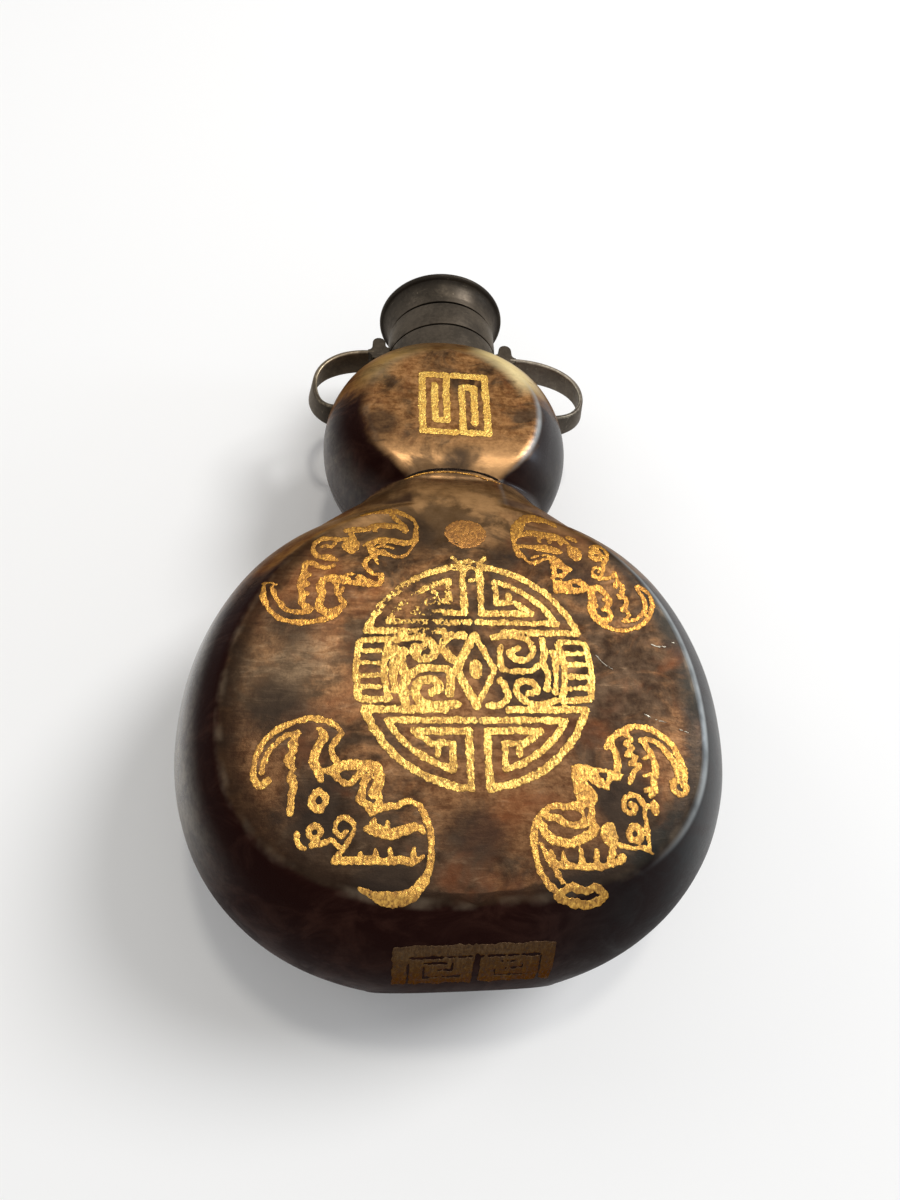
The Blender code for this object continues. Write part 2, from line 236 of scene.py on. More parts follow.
sky = Finish("sky", bpy.data.worlds.new("sky"))
bpy.context.scene.world = sky.owner
seen = sky.node("ShaderNodeLightPath", output="Is Camera Ray")
for ray in ("Is Glossy Ray", "Is Transmission Ray"):
    seen = seen.at_least(sky.node("ShaderNodeLightPath", output=ray))
sky_light = sky.node(
    "ShaderNodeBackground",
    {},
    {"Color": (1.0, 1.0, 1.0, 1.0), "Strength": seen * (SKY_SEEN - SKY_SHADE) + SKY_SHADE},
)
sky.node("ShaderNodeOutputWorld", {}, {"Surface": sky_light})

build = bmesh.new()
bmesh.ops.create_grid(build, x_segments=1, y_segments=1, size=FLOOR_HALF)
floor_mesh = bpy.data.meshes.new("floor")
build.to_mesh(floor_mesh)
build.free()
floor = bpy.data.objects.new("floor", floor_mesh)
bpy.context.scene.collection.objects.link(floor)
floor_mesh.materials.append(
    Finish("table_top").skin(
        Base_Color=(FLOOR_SHADE, FLOOR_SHADE, FLOOR_SHADE, 1.0), Roughness=0.9
    )
)
bpy.context.scene.view_settings.view_transform = "Standard"

# ---------------------------------------------------------------- the body
# A gourd of two flattened bulbs of bronze, cast in two halves and brazed round the widest
# line. Each face is flat inside a worn ridge and curves down to the sides, and the bottom is
# cut off flat for the foot. Its patina is red-brown and charcoal; the walls are painted near
# black as shade, and painted light, shade and highlights lie on the face and ridges too.

HALF_DEPTH = 0.0324
WALL = 0.0018
SEAM_LAND = 0.00095
LOWER_RADIUS = 0.0708
LOWER_STATION = 0.0607
LOWER_DROP = 0.0626
LOWER_PANEL_RADIUS = 0.0558
LOWER_PANEL_DROP = 0.0436
LOWER_SLOPE_RUN = 0.0355
WAIST_STATION = 0.1290
WAIST_HALF_DEPTH = 0.0215
WAIST_PANEL_HALF_WIDTH = 0.0120
UPPER_STATION = 0.1532
UPPER_RADIUS = 0.0389
UPPER_HALF_DEPTH = 0.0238
UPPER_PANEL_RADIUS = 0.0255
UPPER_PANEL_RISE = 0.0225
UPPER_SLOPE_RUN = 0.0085
SHOULDER = 0.187365
LENGTH = 0.211065
RIDGE_TURN = math.radians(50.0)
RIDGE_EASE = 0.0021
FOOT_EASE = 0.0003
FOOT_LOOPS = ((0.00045, 0.00012), (0.00045, 0.00002), (0.0005, 0.0), (0.0010, 0.0))
FOOT_RADII = (0.0213, 0.0118)
FOOT_HOLE = (0.0165, 0.0082)
NECK_HOLE = 0.0173
NECK_HOLE_MARGIN = 0.0025
ROWS_BELOW_WAIST = 150
ROWS_ABOVE_WAIST = 84
WALL_COLUMNS = 34
EASE_COLUMNS = 6
PANEL_COLUMNS = 20
UNEVENNESS = 0.00022
EVEN_NEAR_SEAM = 0.004
EVEN_SINK = 0.3
LOWER_ROUNDNESS = 2.25
LOWER_PANEL_ROUNDNESS = 2.5
TURN_STEPS = 1200
LOWER_SIDE_STEPS = 900
UPPER_SIDE_STEPS = 500
# Each kind of wear, stain and painted light or shade is kept on the mesh's points. The pairs
# say where it fades in or out: at which stations, heights over the seam, distances from the
# bulb's middle or slants.
MARKS = (
    "ridge_wear_glint",
    "wall",
    "rim_shade",
    "seam_rub_gleam",
    "brown",
    "polish_glow",
    "sheen",
    "handled",
    "charcoal",
)
RIDGE_WEAR_GLINT_COLUMNS = 3.2
WALL_FADE_COLUMNS = 5
UPPER_WALL_FADE_COLUMNS = 13
WALL_FADE_WIDENS = (0.122, 0.140)
UPPER_STARTS = (0.122, 0.132)
RIM_SHADE_REACH = 0.0065
RIM_SHADE_WIDENS_BELOW = 0.05
RIM_SHADE_ENDS = (0.095, 0.125)
SEAM_RUB_GLEAM_HEIGHT = (0.017, 0.0285)
SEAM_RUB_GLEAM_STARTS = (0.018, 0.050)
SEAM_RUB_GLEAM_ENDS = (0.075, 0.112)
UPPER_SEAM_RUB_GLEAM = 0.45
UPPER_SEAM_RUB_GLEAM_HEIGHT = (0.008, 0.020)
RIGHT_SEAM_RUB_GLEAM = 0.6
FACES_FOOT = (0.35, 0.80)
FACES_RIGHT = (0.2, 0.7)
REFLECTION_SPOT = (-0.040, 0.070)
REFLECTION_REACH = 0.013
POLISH_GLOW_SLANT = (0.70, 0.71)
POLISH_GLOW_FACING = (0.82, 1.0)
POLISH_GLOW_STARTS = (0.020, 0.026)
POLISH_GLOW_ENDS = (0.028, 0.034)
LEFT_POLISH_GLOW = 0.15
# Where the face is charred darkest, as (x, station, reach).
CHARCOAL = (
    (-0.043, 0.058, 0.009),
    (-0.042, 0.079, 0.008),
    (-0.034, 0.036, 0.010),
    (-0.018, 0.021, 0.009),
    (0.001, 0.031, 0.008),
    (0.024, 0.020, 0.011),
    (0.033, 0.037, 0.009),
    (-0.014, 0.105, 0.009),
    (0.011, 0.098, 0.006),
    (0.030, 0.094, 0.008),
    (0.001, 0.134, 0.006),
    (-0.021, 0.146, 0.006),
    (0.012, 0.062, 0.009),
)


def to_y(station):
    return station - LENGTH / 2


def smooth_step(low, high, value):
    share = min(1.0, max(0.0, (value - low) / (high - low)))
    return share * share * (3 - 2 * share)


def half_width(station, middle, radius):
    return np.sqrt(np.maximum(radius**2 - (station - middle) ** 2, 0.0))


def outline_half_width(station):
    lower = half_width(station, LOWER_STATION, LOWER_RADIUS)
    upper = half_width(station, UPPER_STATION, UPPER_RADIUS)
    return (lower**14 + upper**14) ** (1 / 14)


def panel_half_width(station):
    lower = half_width(station, LOWER_STATION, LOWER_PANEL_RADIUS)
    upper = half_width(station, UPPER_STATION, UPPER_PANEL_RADIUS)
    return (lower**4 + upper**4 + WAIST_PANEL_HALF_WIDTH**4) ** (1 / 4)


def arc_drop(run, full_run, full_drop):
    radius = (full_run**2 + full_drop**2) / (2 * full_drop)
    return radius - np.sqrt(radius**2 - run**2)


def face_height(station):
    low = np.clip(station - WAIST_STATION + LOWER_SLOPE_RUN, 0, LOWER_SLOPE_RUN)
    high = np.clip(WAIST_STATION + UPPER_SLOPE_RUN - station, 0, UPPER_SLOPE_RUN)
    lower = HALF_DEPTH - arc_drop(low, LOWER_SLOPE_RUN, HALF_DEPTH - WAIST_HALF_DEPTH)
    upper = UPPER_HALF_DEPTH - arc_drop(high, UPPER_SLOPE_RUN, UPPER_HALF_DEPTH - WAIST_HALF_DEPTH)
    return np.where(station <= WAIST_STATION, lower, upper)


def outline_rows():
    """Rows round half a face: outline point, ridge point and face height of each."""
    turn = np.linspace(math.pi / 2, 0, TURN_STEPS)[:-1]
    across, along = np.cos(turn), np.sin(turn)
    middle = np.concatenate(
        (
            np.linspace(LOWER_STATION, WAIST_STATION, LOWER_SIDE_STEPS)[:-1],
            np.linspace(WAIST_STATION, UPPER_STATION, UPPER_SIDE_STEPS)[:-1],
        )
    )
    rise = np.linspace(0, math.pi / 2, TURN_STEPS)
    outer, inner = 2 / LOWER_ROUNDNESS, 2 / LOWER_PANEL_ROUNDNESS
    lower_ridge, upper_ridge = panel_half_width(LOWER_STATION), panel_half_width(UPPER_STATION)
    parts = [
        (
            LOWER_RADIUS * across**outer,
            LOWER_STATION - LOWER_DROP * along**outer,
            lower_ridge * across**inner,
            LOWER_STATION - LOWER_PANEL_DROP * along**inner,
            np.full(turn.shape, HALF_DEPTH),
        ),
        (
            outline_half_width(middle),
            middle,
            panel_half_width(middle),
            middle,
            face_height(middle),
        ),
        (
            UPPER_RADIUS * np.cos(rise),
            UPPER_STATION + UPPER_RADIUS * np.sin(rise),
            upper_ridge * np.cos(rise),
            UPPER_STATION + UPPER_PANEL_RISE * np.sin(rise),
            np.full(rise.shape, UPPER_HALF_DEPTH),
        ),
    ]
    dense = np.array([np.concatenate(columns) for columns in zip(*parts)]).T
    moves = np.diff(dense, axis=0).T
    steps = np.hypot(moves[0], moves[1]) + np.hypot(moves[2], moves[3])
    run = np.concatenate(([0.0], np.cumsum(steps)))
    crease = len(turn) + LOWER_SIDE_STEPS - 1
    wanted = np.concatenate(
        (
            np.linspace(0, run[crease], ROWS_BELOW_WAIST + 1),
            np.linspace(run[crease], run[-1], ROWS_ABOVE_WAIST + 1)[1:],
        )
    )
    rows = np.array([np.interp(wanted, run, column) for column in dense.T]).T
    rows[-1, [0, 2]] = 0.0
    rows[0, [0, 2]] = 0.0
    return rows


def row_points(outline, ridge, height):
    """From the seam up the curved wall, over the eased ridge, and in to the middle line."""

    def wall(turn):
        out = (math.cos(turn) - math.cos(RIDGE_TURN)) / (1 - math.cos(RIDGE_TURN))
        return np.array(
            (
                ridge[0] + (outline[0] - ridge[0]) * out,
                ridge[1] + (outline[1] - ridge[1]) * out,
                SEAM_LAND + (height - SEAM_LAND) * math.sin(turn) / math.sin(RIDGE_TURN),
            )
        )

    crown = np.array((ridge[0], ridge[1], height))
    step = 0.002
    pace = np.linalg.norm(wall(RIDGE_TURN) - wall(RIDGE_TURN - step)) / step
    start = RIDGE_TURN - min(RIDGE_EASE / pace, RIDGE_TURN / 2)
    slant = np.array((ridge[0] - outline[0], ridge[1] - outline[1], 0.0))
    inner = min(RIDGE_EASE, ridge[0] * 0.5)
    ease_end = crown + slant / max(np.linalg.norm(slant), 1e-6) * inner
    points = [np.array((outline[0], outline[1], 0.0))]
    points += [wall(start * index / WALL_COLUMNS) for index in range(WALL_COLUMNS + 1)]
    for index in range(1, EASE_COLUMNS + 1):
        share = index / EASE_COLUMNS
        points.append(
            wall(start) * (1 - share) ** 2 + crown * 2 * share * (1 - share) + ease_end * share**2
        )
    for index in range(1, PANEL_COLUMNS + 1):
        share = index / PANEL_COLUMNS
        points.append(np.array((ease_end[0] * (1 - share), ease_end[1], height)))
    return points


def add_piece(name, mesh):
    piece = bpy.data.objects.new(name, mesh)
    bpy.context.scene.collection.objects.link(piece)
    return piece


def wear_marks(across, station, height, normal):
    """The wear, stains and painted light and shade at a point of the body, each from 0 to 1."""
    upper = smooth_step(*UPPER_STARTS, station)
    # Walls facing the mouth, towards the lamp, are painted a lit brown, and near the seam they
    # are worn pale and painted with a reflection.
    brown = smooth_step(0.10 - 0.20 * upper, 0.66 - 0.30 * upper, normal.y)
    worn = 1 - smooth_step(*SEAM_RUB_GLEAM_HEIGHT, height)
    worn *= smooth_step(*SEAM_RUB_GLEAM_STARTS, station) * (1 - smooth_step(*SEAM_RUB_GLEAM_ENDS, station))
    upper_worn = UPPER_SEAM_RUB_GLEAM * upper * (1 - smooth_step(*UPPER_SEAM_RUB_GLEAM_HEIGHT, height))
    worn = max(worn, upper_worn * (1 - brown))
    faces_foot = smooth_step(*FACES_FOOT, -normal.y)
    # A painted reflection: a soft lighter patch on the left of the face.
    near_reflection = math.hypot(across - REFLECTION_SPOT[0], station - REFLECTION_SPOT[1]) / REFLECTION_REACH
    charred = [
        math.exp(-(((across - x) ** 2 + (station - s) ** 2) / reach**2))
        for x, s, reach in CHARCOAL
    ]
    # The upper bulb's shoulders are rubbed bright and carry a painted glow of highlight, most
    # of all the right one.
    rise = station - UPPER_STATION
    out = max(1e-6, math.hypot(across, rise))
    facing = (abs(across) * POLISH_GLOW_SLANT[0] + rise * POLISH_GLOW_SLANT[1]) / out
    polish_glow = smooth_step(*POLISH_GLOW_FACING, facing) * smooth_step(*POLISH_GLOW_STARTS, out) * upper
    polish_glow *= 1 - smooth_step(*POLISH_GLOW_ENDS, out)
    return {
        "brown": brown,
        "seam_rub_gleam": worn * (1 if across < 0 else RIGHT_SEAM_RUB_GLEAM),
        # The sheen sets a coat on right-facing walls and a painted highlight along their ridge.
        "sheen": smooth_step(*FACES_RIGHT, normal.x) * (1 - faces_foot),
        "handled": math.exp(-(near_reflection**2)),
        "charcoal": max(charred),
        "polish_glow": polish_glow * (1.0 if across > 0 else LEFT_POLISH_GLOW),
    }


def half_body(name, side):
    """One half of the flask: the loft mirrored, with the foot's ring and the neck's hole."""
    build = bmesh.new()
    marks = {mark: build.verts.layers.float.new(mark) for mark in MARKS}
    ridge_column = WALL_COLUMNS + 1 + EASE_COLUMNS // 2
    last = WALL_COLUMNS + 1 + EASE_COLUMNS + PANEL_COLUMNS
    for hand in (1, -1):
        grid = []
        for row in outline_rows():
            line = []
            for column, point in enumerate(row_points(row[0:2], row[2:4], row[4])):
                vertex = build.verts.new(
                    (hand * point[0], to_y(point[1]), HALF_DEPTH + side * point[2])
                )
                from_ridge = (column - ridge_column) / RIDGE_WEAR_GLINT_COLUMNS
                vertex[marks["ridge_wear_glint"]] = math.exp(-(from_ridge**2))
                soft = UPPER_WALL_FADE_COLUMNS * smooth_step(*WALL_FADE_WIDENS, point[1])
                soft += WALL_FADE_COLUMNS
                vertex[marks["wall"]] = min(1.0, max(0.0, (ridge_column - column) / soft + 0.5))
                inward = math.dist(point[:2], row[2:4]) if column > ridge_column else 0.0
                near_foot = max(0.0, 1 - point[1] / RIM_SHADE_WIDENS_BELOW)
                reach = RIM_SHADE_REACH * (1 + near_foot)
                low_bulb = 1 - smooth_step(*RIM_SHADE_ENDS, point[1])
                vertex[marks["rim_shade"]] = math.exp(-((inward / reach) ** 2)) * low_bulb
                line.append(vertex)
            grid.append(line)
        for first, second in zip(grid, grid[1:]):
            for column in range(last):
                corners = [first[column], second[column], second[column + 1], first[column + 1]]
                if side * hand < 0:
                    corners.reverse()
                build.faces.new(corners)
    bmesh.ops.remove_doubles(build, verts=build.verts, dist=0.000004)
    build.normal_update()
    for vertex in build.verts:
        height = abs(vertex.co.z - HALF_DEPTH)
        worn = wear_marks(vertex.co.x, vertex.co.y + LENGTH / 2, height, vertex.normal)
        for mark, amount in worn.items():
            vertex[marks[mark]] = amount
        spot = Vector(vertex.co)
        spot.z += side * 0.31
        swell = noise.noise(spot * 38.0) * 0.7 + noise.noise(spot * 95.0) * 0.3
        near_seam = min(1.0, height / EVEN_NEAR_SEAM)
        lift = UNEVENNESS * swell * near_seam - UNEVENNESS * EVEN_SINK * near_seam
        vertex.co += vertex.normal * lift
    # The foot is cut off flat, with an eased edge and a ring in to the plate's hole.
    bmesh.ops.bisect_plane(
        build,
        geom=build.verts[:] + build.edges[:] + build.faces[:],
        plane_co=(0, to_y(FOOT_EASE), 0),
        plane_no=(0, -1, 0),
        clear_outer=True,
    )
    foot_edges = [
        edge
        for edge in build.edges
        if edge.is_boundary and all(abs(v.co.y - to_y(FOOT_EASE)) < 1e-6 for v in edge.verts)
    ]
    for shrink, station in (*FOOT_LOOPS, (None, 0.0)):
        made = bmesh.ops.extrude_edge_only(build, edges=foot_edges)
        fresh = [item for item in made["geom"] if isinstance(item, bmesh.types.BMVert)]
        for vertex in fresh:
            across, deep = vertex.co.x, vertex.co.z - HALF_DEPTH
            if shrink is None:
                turn = math.atan2(deep / FOOT_RADII[1], across / FOOT_RADII[0])
                across = FOOT_HOLE[0] * math.cos(turn)
                deep = FOOT_HOLE[1] * math.sin(turn) if abs(deep) > 1e-6 else 0.0
            else:
                step = shrink / math.hypot(across, deep)
                across, deep = across * (1 - step), deep * (1 - step)
            vertex.co = (across, to_y(station), HALF_DEPTH + deep)
        foot_edges = [item for item in made["geom"] if isinstance(item, bmesh.types.BMEdge)]
    # Inside the collar the shoulder is open.
    inside = [
        vertex
        for vertex in build.verts
        if vertex.co.y > to_y(UPPER_STATION)
        and math.hypot(vertex.co.x, vertex.co.z - HALF_DEPTH) < NECK_HOLE
    ]
    bmesh.ops.delete(build, geom=inside, context="VERTS")
    for vertex in build.verts:
        if vertex.is_boundary and vertex.co.y > to_y(UPPER_STATION):
            deep = vertex.co.z - HALF_DEPTH
            reach = math.hypot(vertex.co.x, deep)
            if reach < NECK_HOLE + NECK_HOLE_MARGIN and abs(deep) > 1e-6:
                vertex.co.x *= NECK_HOLE / reach
                vertex.co.z = HALF_DEPTH + deep * NECK_HOLE / reach
    bmesh.ops.recalc_face_normals(build, faces=build.faces)
    mesh = bpy.data.meshes.new(name)
    build.to_mesh(mesh)
    build.free()
    mesh.shade_smooth()
    piece = add_piece(name, mesh)
    solidify = piece.modifiers.new("wall", "SOLIDIFY")
    solidify.thickness = WALL
    solidify.offset = -1.0
    return piece


RED_BROWN_SHADED = ((0.067, 0.029, 0.013), (0.155, 0.078, 0.035))
RED_BROWN_LIT = ((0.135, 0.056, 0.019), (0.350, 0.175, 0.066))
CLOUD_TONES = ((0.015, 0.010, 0.007), (0.058, 0.038, 0.024))
WAIST_HIGHLIGHT_TONE = (0.50, 0.285, 0.125)
RED_TONE = (0.160, 0.050, 0.018)
SCUFF_REFLECTION_TONE = (0.27, 0.18, 0.105)
RIM_SHADE_TONES = ((0.016, 0.009, 0.006), (0.015, 0.017, 0.016))
CHARRED_TONE = (0.020, 0.015, 0.012)
LIT_UMBER_TONES = ((0.078, 0.040, 0.018), (0.300, 0.170, 0.076))
POLISH_GLOW_TONE = (0.96, 0.79, 0.42)
WALL_SHADE_TONES = ((0.0130, 0.0042, 0.0034), (0.0300, 0.0120, 0.0085))
WORN_GLEAMING_WALL_TONES = ((0.066, 0.048, 0.031), (0.290, 0.245, 0.175))
COOL_REFLECTION_TONE = (0.0100, 0.0120, 0.0130)
RUB_GLINT_TONE = (0.25, 0.19, 0.13)
EDGE_HIGHLIGHT_TONE = (0.40, 0.43, 0.44)
BACK_SHADE_TONE = (0.030, 0.019, 0.012)


def body_patina(name, shaded_copy):
    """Mottled bronze: red-brown with charcoal clouds, walls in painted near-black shade, and
    ridges worn bright with painted glints and highlights.
    """
    finish = Finish(name)
    place = finish.place()
    ridge, wall, rim, seam, brown, polish_glow, sheen, handled, charcoal = (
        finish.mark(mark) for mark in MARKS
    )
    broad = finish.cloud(place, 0.040, 3.0, 0.5, 0.9)
    patchy = finish.cloud(finish.stretched(place, (1.0, 1.5, 1.0), 0.5), 0.015, 6.0, 0.64, 1.6)
    brushed = finish.cloud(finish.stretched(place, (1.0, 4.2, 1.0), 0.30), 0.008, 6.0, 0.70, 0.9)
    streak = finish.cloud(finish.stretched(place, (1.0, 0.7, 0.45)), 0.0045, 6.0, 0.70, 0.5)
    fine = finish.cloud(place, 0.0016, 5.0, 0.7)
    speck = finish.cloud(place, 0.0045, 5.0, 0.65)
    glint = finish.cloud(place, 0.008, 3.0, 0.5)
    along = finish.level(place, 1)
    right_side = finish.window(finish.level(place, 0), 0.004, 0.046)
    # The panel: red-brown, painted lighter towards the mouth and darker towards the foot as
    # light and shade, under charcoal clouds and stains.
    grain = finish.window(fine * 0.45 + brushed * 0.35 + speck * 0.2, 0.40, 0.60)
    warm_shaded = finish.blend(grain, *RED_BROWN_SHADED)
    warm_lit = finish.blend(grain, *RED_BROWN_LIT)
    warm = finish.blend(finish.window(along, -0.060, 0.050), warm_shaded, warm_lit)
    cool = finish.blend(finish.window(speck, 0.3, 0.7), *CLOUD_TONES)
    clouds = finish.window(broad * 0.6 + patchy * 0.4, 0.44, 0.57)
    panel = finish.blend(clouds * 0.88 + 0.1, cool, warm)
    # A painted highlight: the slope at the waist is lit a lighter gold-brown.
    waist = finish.window(along, -0.010, 0.008) * finish.window(along, 0.026, 0.040, 1.0, 0.0)
    panel = finish.blend(waist * (clouds * 0.55 + 0.15), panel, WAIST_HIGHLIGHT_TONE)
    red = finish.window(finish.cloud(place, 0.024, 4.0, 0.6, 0.6), 0.50, 0.68)
    panel = finish.blend(red * 0.35, panel, RED_TONE)
    # Scuffs, and a painted reflection lighter on the left of the face.
    scuff = finish.window(brushed * 0.65 + speck * 0.35 + handled * 0.12, 0.55, 0.72)
    panel = finish.blend(scuff * 0.30 + handled * 0.22, panel, SCUFF_REFLECTION_TONE)
    # Painted shade round the face's rim, reaching further towards the foot, cooler on the right.
    rim_painted_shade = finish.window(rim * 0.75 + patchy * 0.9 + broad * 0.4, 0.95, 1.30)
    panel = finish.blend(rim_painted_shade * 0.8, panel, finish.blend(right_side, *RIM_SHADE_TONES))
    charred = finish.window(charcoal * 0.6 + patchy * 0.6 + speck * 0.3, 0.62, 0.98)
    panel = finish.blend(charred * 0.72, panel, CHARRED_TONE)
    # Painted light: walls facing the mouth turn a lit umber brown.
    lit_umber_share = finish.window(broad * 0.35 + speck * 0.35 + brushed * 0.3, 0.38, 0.62)
    lit_umber = finish.blend(lit_umber_share, *LIT_UMBER_TONES)
    lit_brown_share = finish.window(brown + patchy * 0.8, 0.55, 1.30)
    panel = finish.blend(lit_brown_share * 0.8, panel, lit_umber)
    # Rubbed bright metal with a painted glow of highlight on the upper shoulders.
    shine = polish_glow * finish.window(patchy * 0.6 + brushed * 0.4, 0.28, 0.50)
    panel = finish.blend(shine, panel, POLISH_GLOW_TONE)
    # The wall: painted near black as shade, worn pale at the seam with a painted reflection
    # there too, and painted cooler on the right as a reflection of the window.
    dark = finish.blend(finish.window(patchy, 0.42, 0.72), *WALL_SHADE_TONES)
    # Near the seam, worn pale bronze that also stands in for a painted reflection.
    pale = seam * finish.window(streak * 0.6 + broad * 0.4, 0.36, 0.62)
    worn = finish.blend(finish.window(fine * 0.4 + speck * 0.6, 0.34, 0.66), *WORN_GLEAMING_WALL_TONES)
    dark = finish.blend(pale * 0.75, dark, worn)
    # A painted cool reflection of the window on the right side of the wall.
    cool_reflection = right_side * finish.window(patchy * 0.7 + broad * 0.3, 0.38, 0.62, 0.45, 0.95)
    dark = finish.blend(cool_reflection, dark, COOL_REFLECTION_TONE)
    wall_share = finish.window(wall + patchy * 0.6, 0.62, 1.05) * (1.0 - lit_brown_share)
    colour = finish.blend(wall_share, panel, dark)
    # The ridge: rubbed in places with painted glints, and a painted highlight where it turns
    # to the right.
    rub = finish.window(ridge, 0.55, 1.0) * finish.window(glint, 0.42, 0.76)
    colour = finish.blend(rub * 0.30, colour, RUB_GLINT_TONE)
    edge_highlight = finish.window(ridge, 0.30, 0.95) * sheen
    edge_highlight = edge_highlight * finish.window(glint, 0.25, 0.60, 0.5, 1.3)
    colour = finish.blend(edge_highlight, colour, EDGE_HIGHLIGHT_TONE)
    # Painted shade: the back half, which lies face down, is a darker copy of the same patina.
    if shaded_copy:
        colour = finish.blend(0.25, colour, BACK_SHADE_TONE)
    roughness = finish.window(brushed * 0.4 + clouds * 0.3 + fine * 0.3, 0.25, 0.75, 0.46, 0.34)
    bump = finish.bump(fine, 0.00006, 0.6, finish.bump(speck, 0.00022, 0.5))
    return finish.skin(
        Base_Color=colour,
        Metallic=(0.85 - wall_share * 0.85 + rub * 0.5).at_most(1.0).at_least(0.0),
        Roughness=roughness - rub * 0.06,
        Normal=finish.bump(brushed, 0.00010, 0.45, bump),
        Specular_IOR_Level=0.012,
        Specular_Tint=(0.36, 0.28, 0.20, 1.0),
        Coat_Weight=(sheen * wall * 0.40).at_least(seam),
        Coat_Roughness=0.24,
        Coat_IOR=1.7,
    )


for name, side, node in (("front_half", 1, "front_shell"), ("back_half", -1, "back_shell")):
    half = half_body(name, side)
    half.data.materials.append(body_patina(name + "_patina", side < 0))
    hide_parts(node)
    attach(half, "root")

# ---------------------------------------------------------------- the gilding
# Gold leaf laid on a sticky line drawn by hand, so its edges wander and specks of bronze
# show through. Four bats fly round a roundel of key fret with a disc over them. A fret block
# is on the upper bulb, and two dull ones lie under the face's lower edge.

MM = 0.001
LEAF_CELL = 0.28
LEAF_RISE = 0.00009
LEAF_DEPTH = 0.00016
LEAF_SPREAD = 0.02
LEAF_MARGIN = 2.0
NEAR_LEAF = 0.9
FAR_OFF = 1e3
PATCH_EDGE = 0.15
CUT_SHARES = (0.06, 0.94)
EDGE_WANDER = ((2.3, 0.15), (0.7, 0.16))
FLECK_SIZES = (0.55, 1.9)


def line(width, *points):
    """A brushed line through points of (x, station) in mm; a third number is a width there."""
    return ("line", [(p[0], p[1], (p[2] if len(p) > 2 else width) / 2) for p in points])


def bar(width, *points):
    """A line with straight stretches and square corners left sharp."""
    return ("bar", [(p[0], p[1], width / 2) for p in points])


def blob(x, station, half_wide, half_high=None, lean=0.0):
    return ("blob", (x, station, half_wide, half_high or half_wide, math.radians(lean)))


def patch(*points):
    return ("patch", points)


def bare(*shapes):
    """Shapes where the leaf is left out again."""
    return ("bare", shapes)


def ring(x, station, half_wide, half_high, hole):
    return ("ring", (x, station, half_wide, half_high, hole))


def eased(points):
    """More points on a smooth curve through the given ones."""
    knots = [np.array(point) for point in points]
    if len(knots) < 3:
        return knots
    knots = [2 * knots[0] - knots[1]] + knots + [2 * knots[-1] - knots[-2]]
    out = []
    for a, b, c, d in zip(knots, knots[1:], knots[2:], knots[3:]):
        for share in (0.0, 0.25, 0.5, 0.75):
            out.append(
                0.5
                * (
                    2 * b
                    + (c - a) * share
                    + (2 * a - 5 * b + 4 * c - d) * share**2
                    + (3 * b - a - 3 * c + d) * share**3
                )
            )
    out.append(knots[-2])
    return out


def leaf_distance(shape, x, s):
    """How far each grid point lies outside a shape, in mm; less than zero is inside."""
    kind, facts = shape
    if kind in ("line", "bar"):
        knots = eased(facts) if kind == "line" else [np.array(point) for point in facts]
        nearest = np.full(x.shape, FAR_OFF)
        for a, b in zip(knots, knots[1:]):
            run, rise = b[0] - a[0], b[1] - a[1]
            length = max(run**2 + rise**2, 1e-9)
            share = np.clip(((x - a[0]) * run + (s - a[1]) * rise) / length, 0, 1)
            away = np.hypot(x - a[0] - share * run, s - a[1] - share * rise)
            nearest = np.minimum(nearest, away - a[2] - share * (b[2] - a[2]))
        return nearest
    if kind == "blob":
        cx, cs, wide, high, lean = facts
        along = (x - cx) * math.cos(lean) + (s - cs) * math.sin(lean)
        over = (s - cs) * math.cos(lean) - (x - cx) * math.sin(lean)
        return (np.hypot(along / wide, over / high) - 1) * min(wide, high)
    if kind == "ring":
        cx, cs, wide, high, hole = facts
        outer = (np.hypot((x - cx) / wide, (s - cs) / high) - 1) * min(wide, high)
        return np.maximum(outer, hole - np.hypot((x - cx) * high / wide, s - cs))
    inside = np.zeros(x.shape, bool)
    nearest = np.full(x.shape, FAR_OFF)
    for a, b in zip(facts, facts[1:] + facts[:1]):
        run, rise = b[0] - a[0], b[1] - a[1]
        share = np.clip(((x - a[0]) * run + (s - a[1]) * rise) / (run**2 + rise**2), 0, 1)
        nearest = np.minimum(nearest, np.hypot(x - a[0] - share * run, s - a[1] - share * rise))
        if rise:
            crosses = (a[1] > s) != (b[1] > s)
            inside ^= crosses & (x < a[0] + (s - a[1]) * run / rise)
    return np.where(inside, -nearest, nearest) - PATCH_EDGE


def reach_of(shapes):
    """The lowest and highest (x, station) that the shapes can reach."""
    spots = []
    for kind, facts in shapes:
        if kind in ("line", "bar", "patch"):
            spots += [(p[0], p[1]) for p in facts]
        elif kind in ("blob", "ring"):
            x, s, wide, high = facts[:4]
            spots += [(x - wide, s - high), (x + wide, s + high)]
    spots = np.array(spots)
    return spots.min(0) - LEAF_MARGIN, spots.max(0) + LEAF_MARGIN


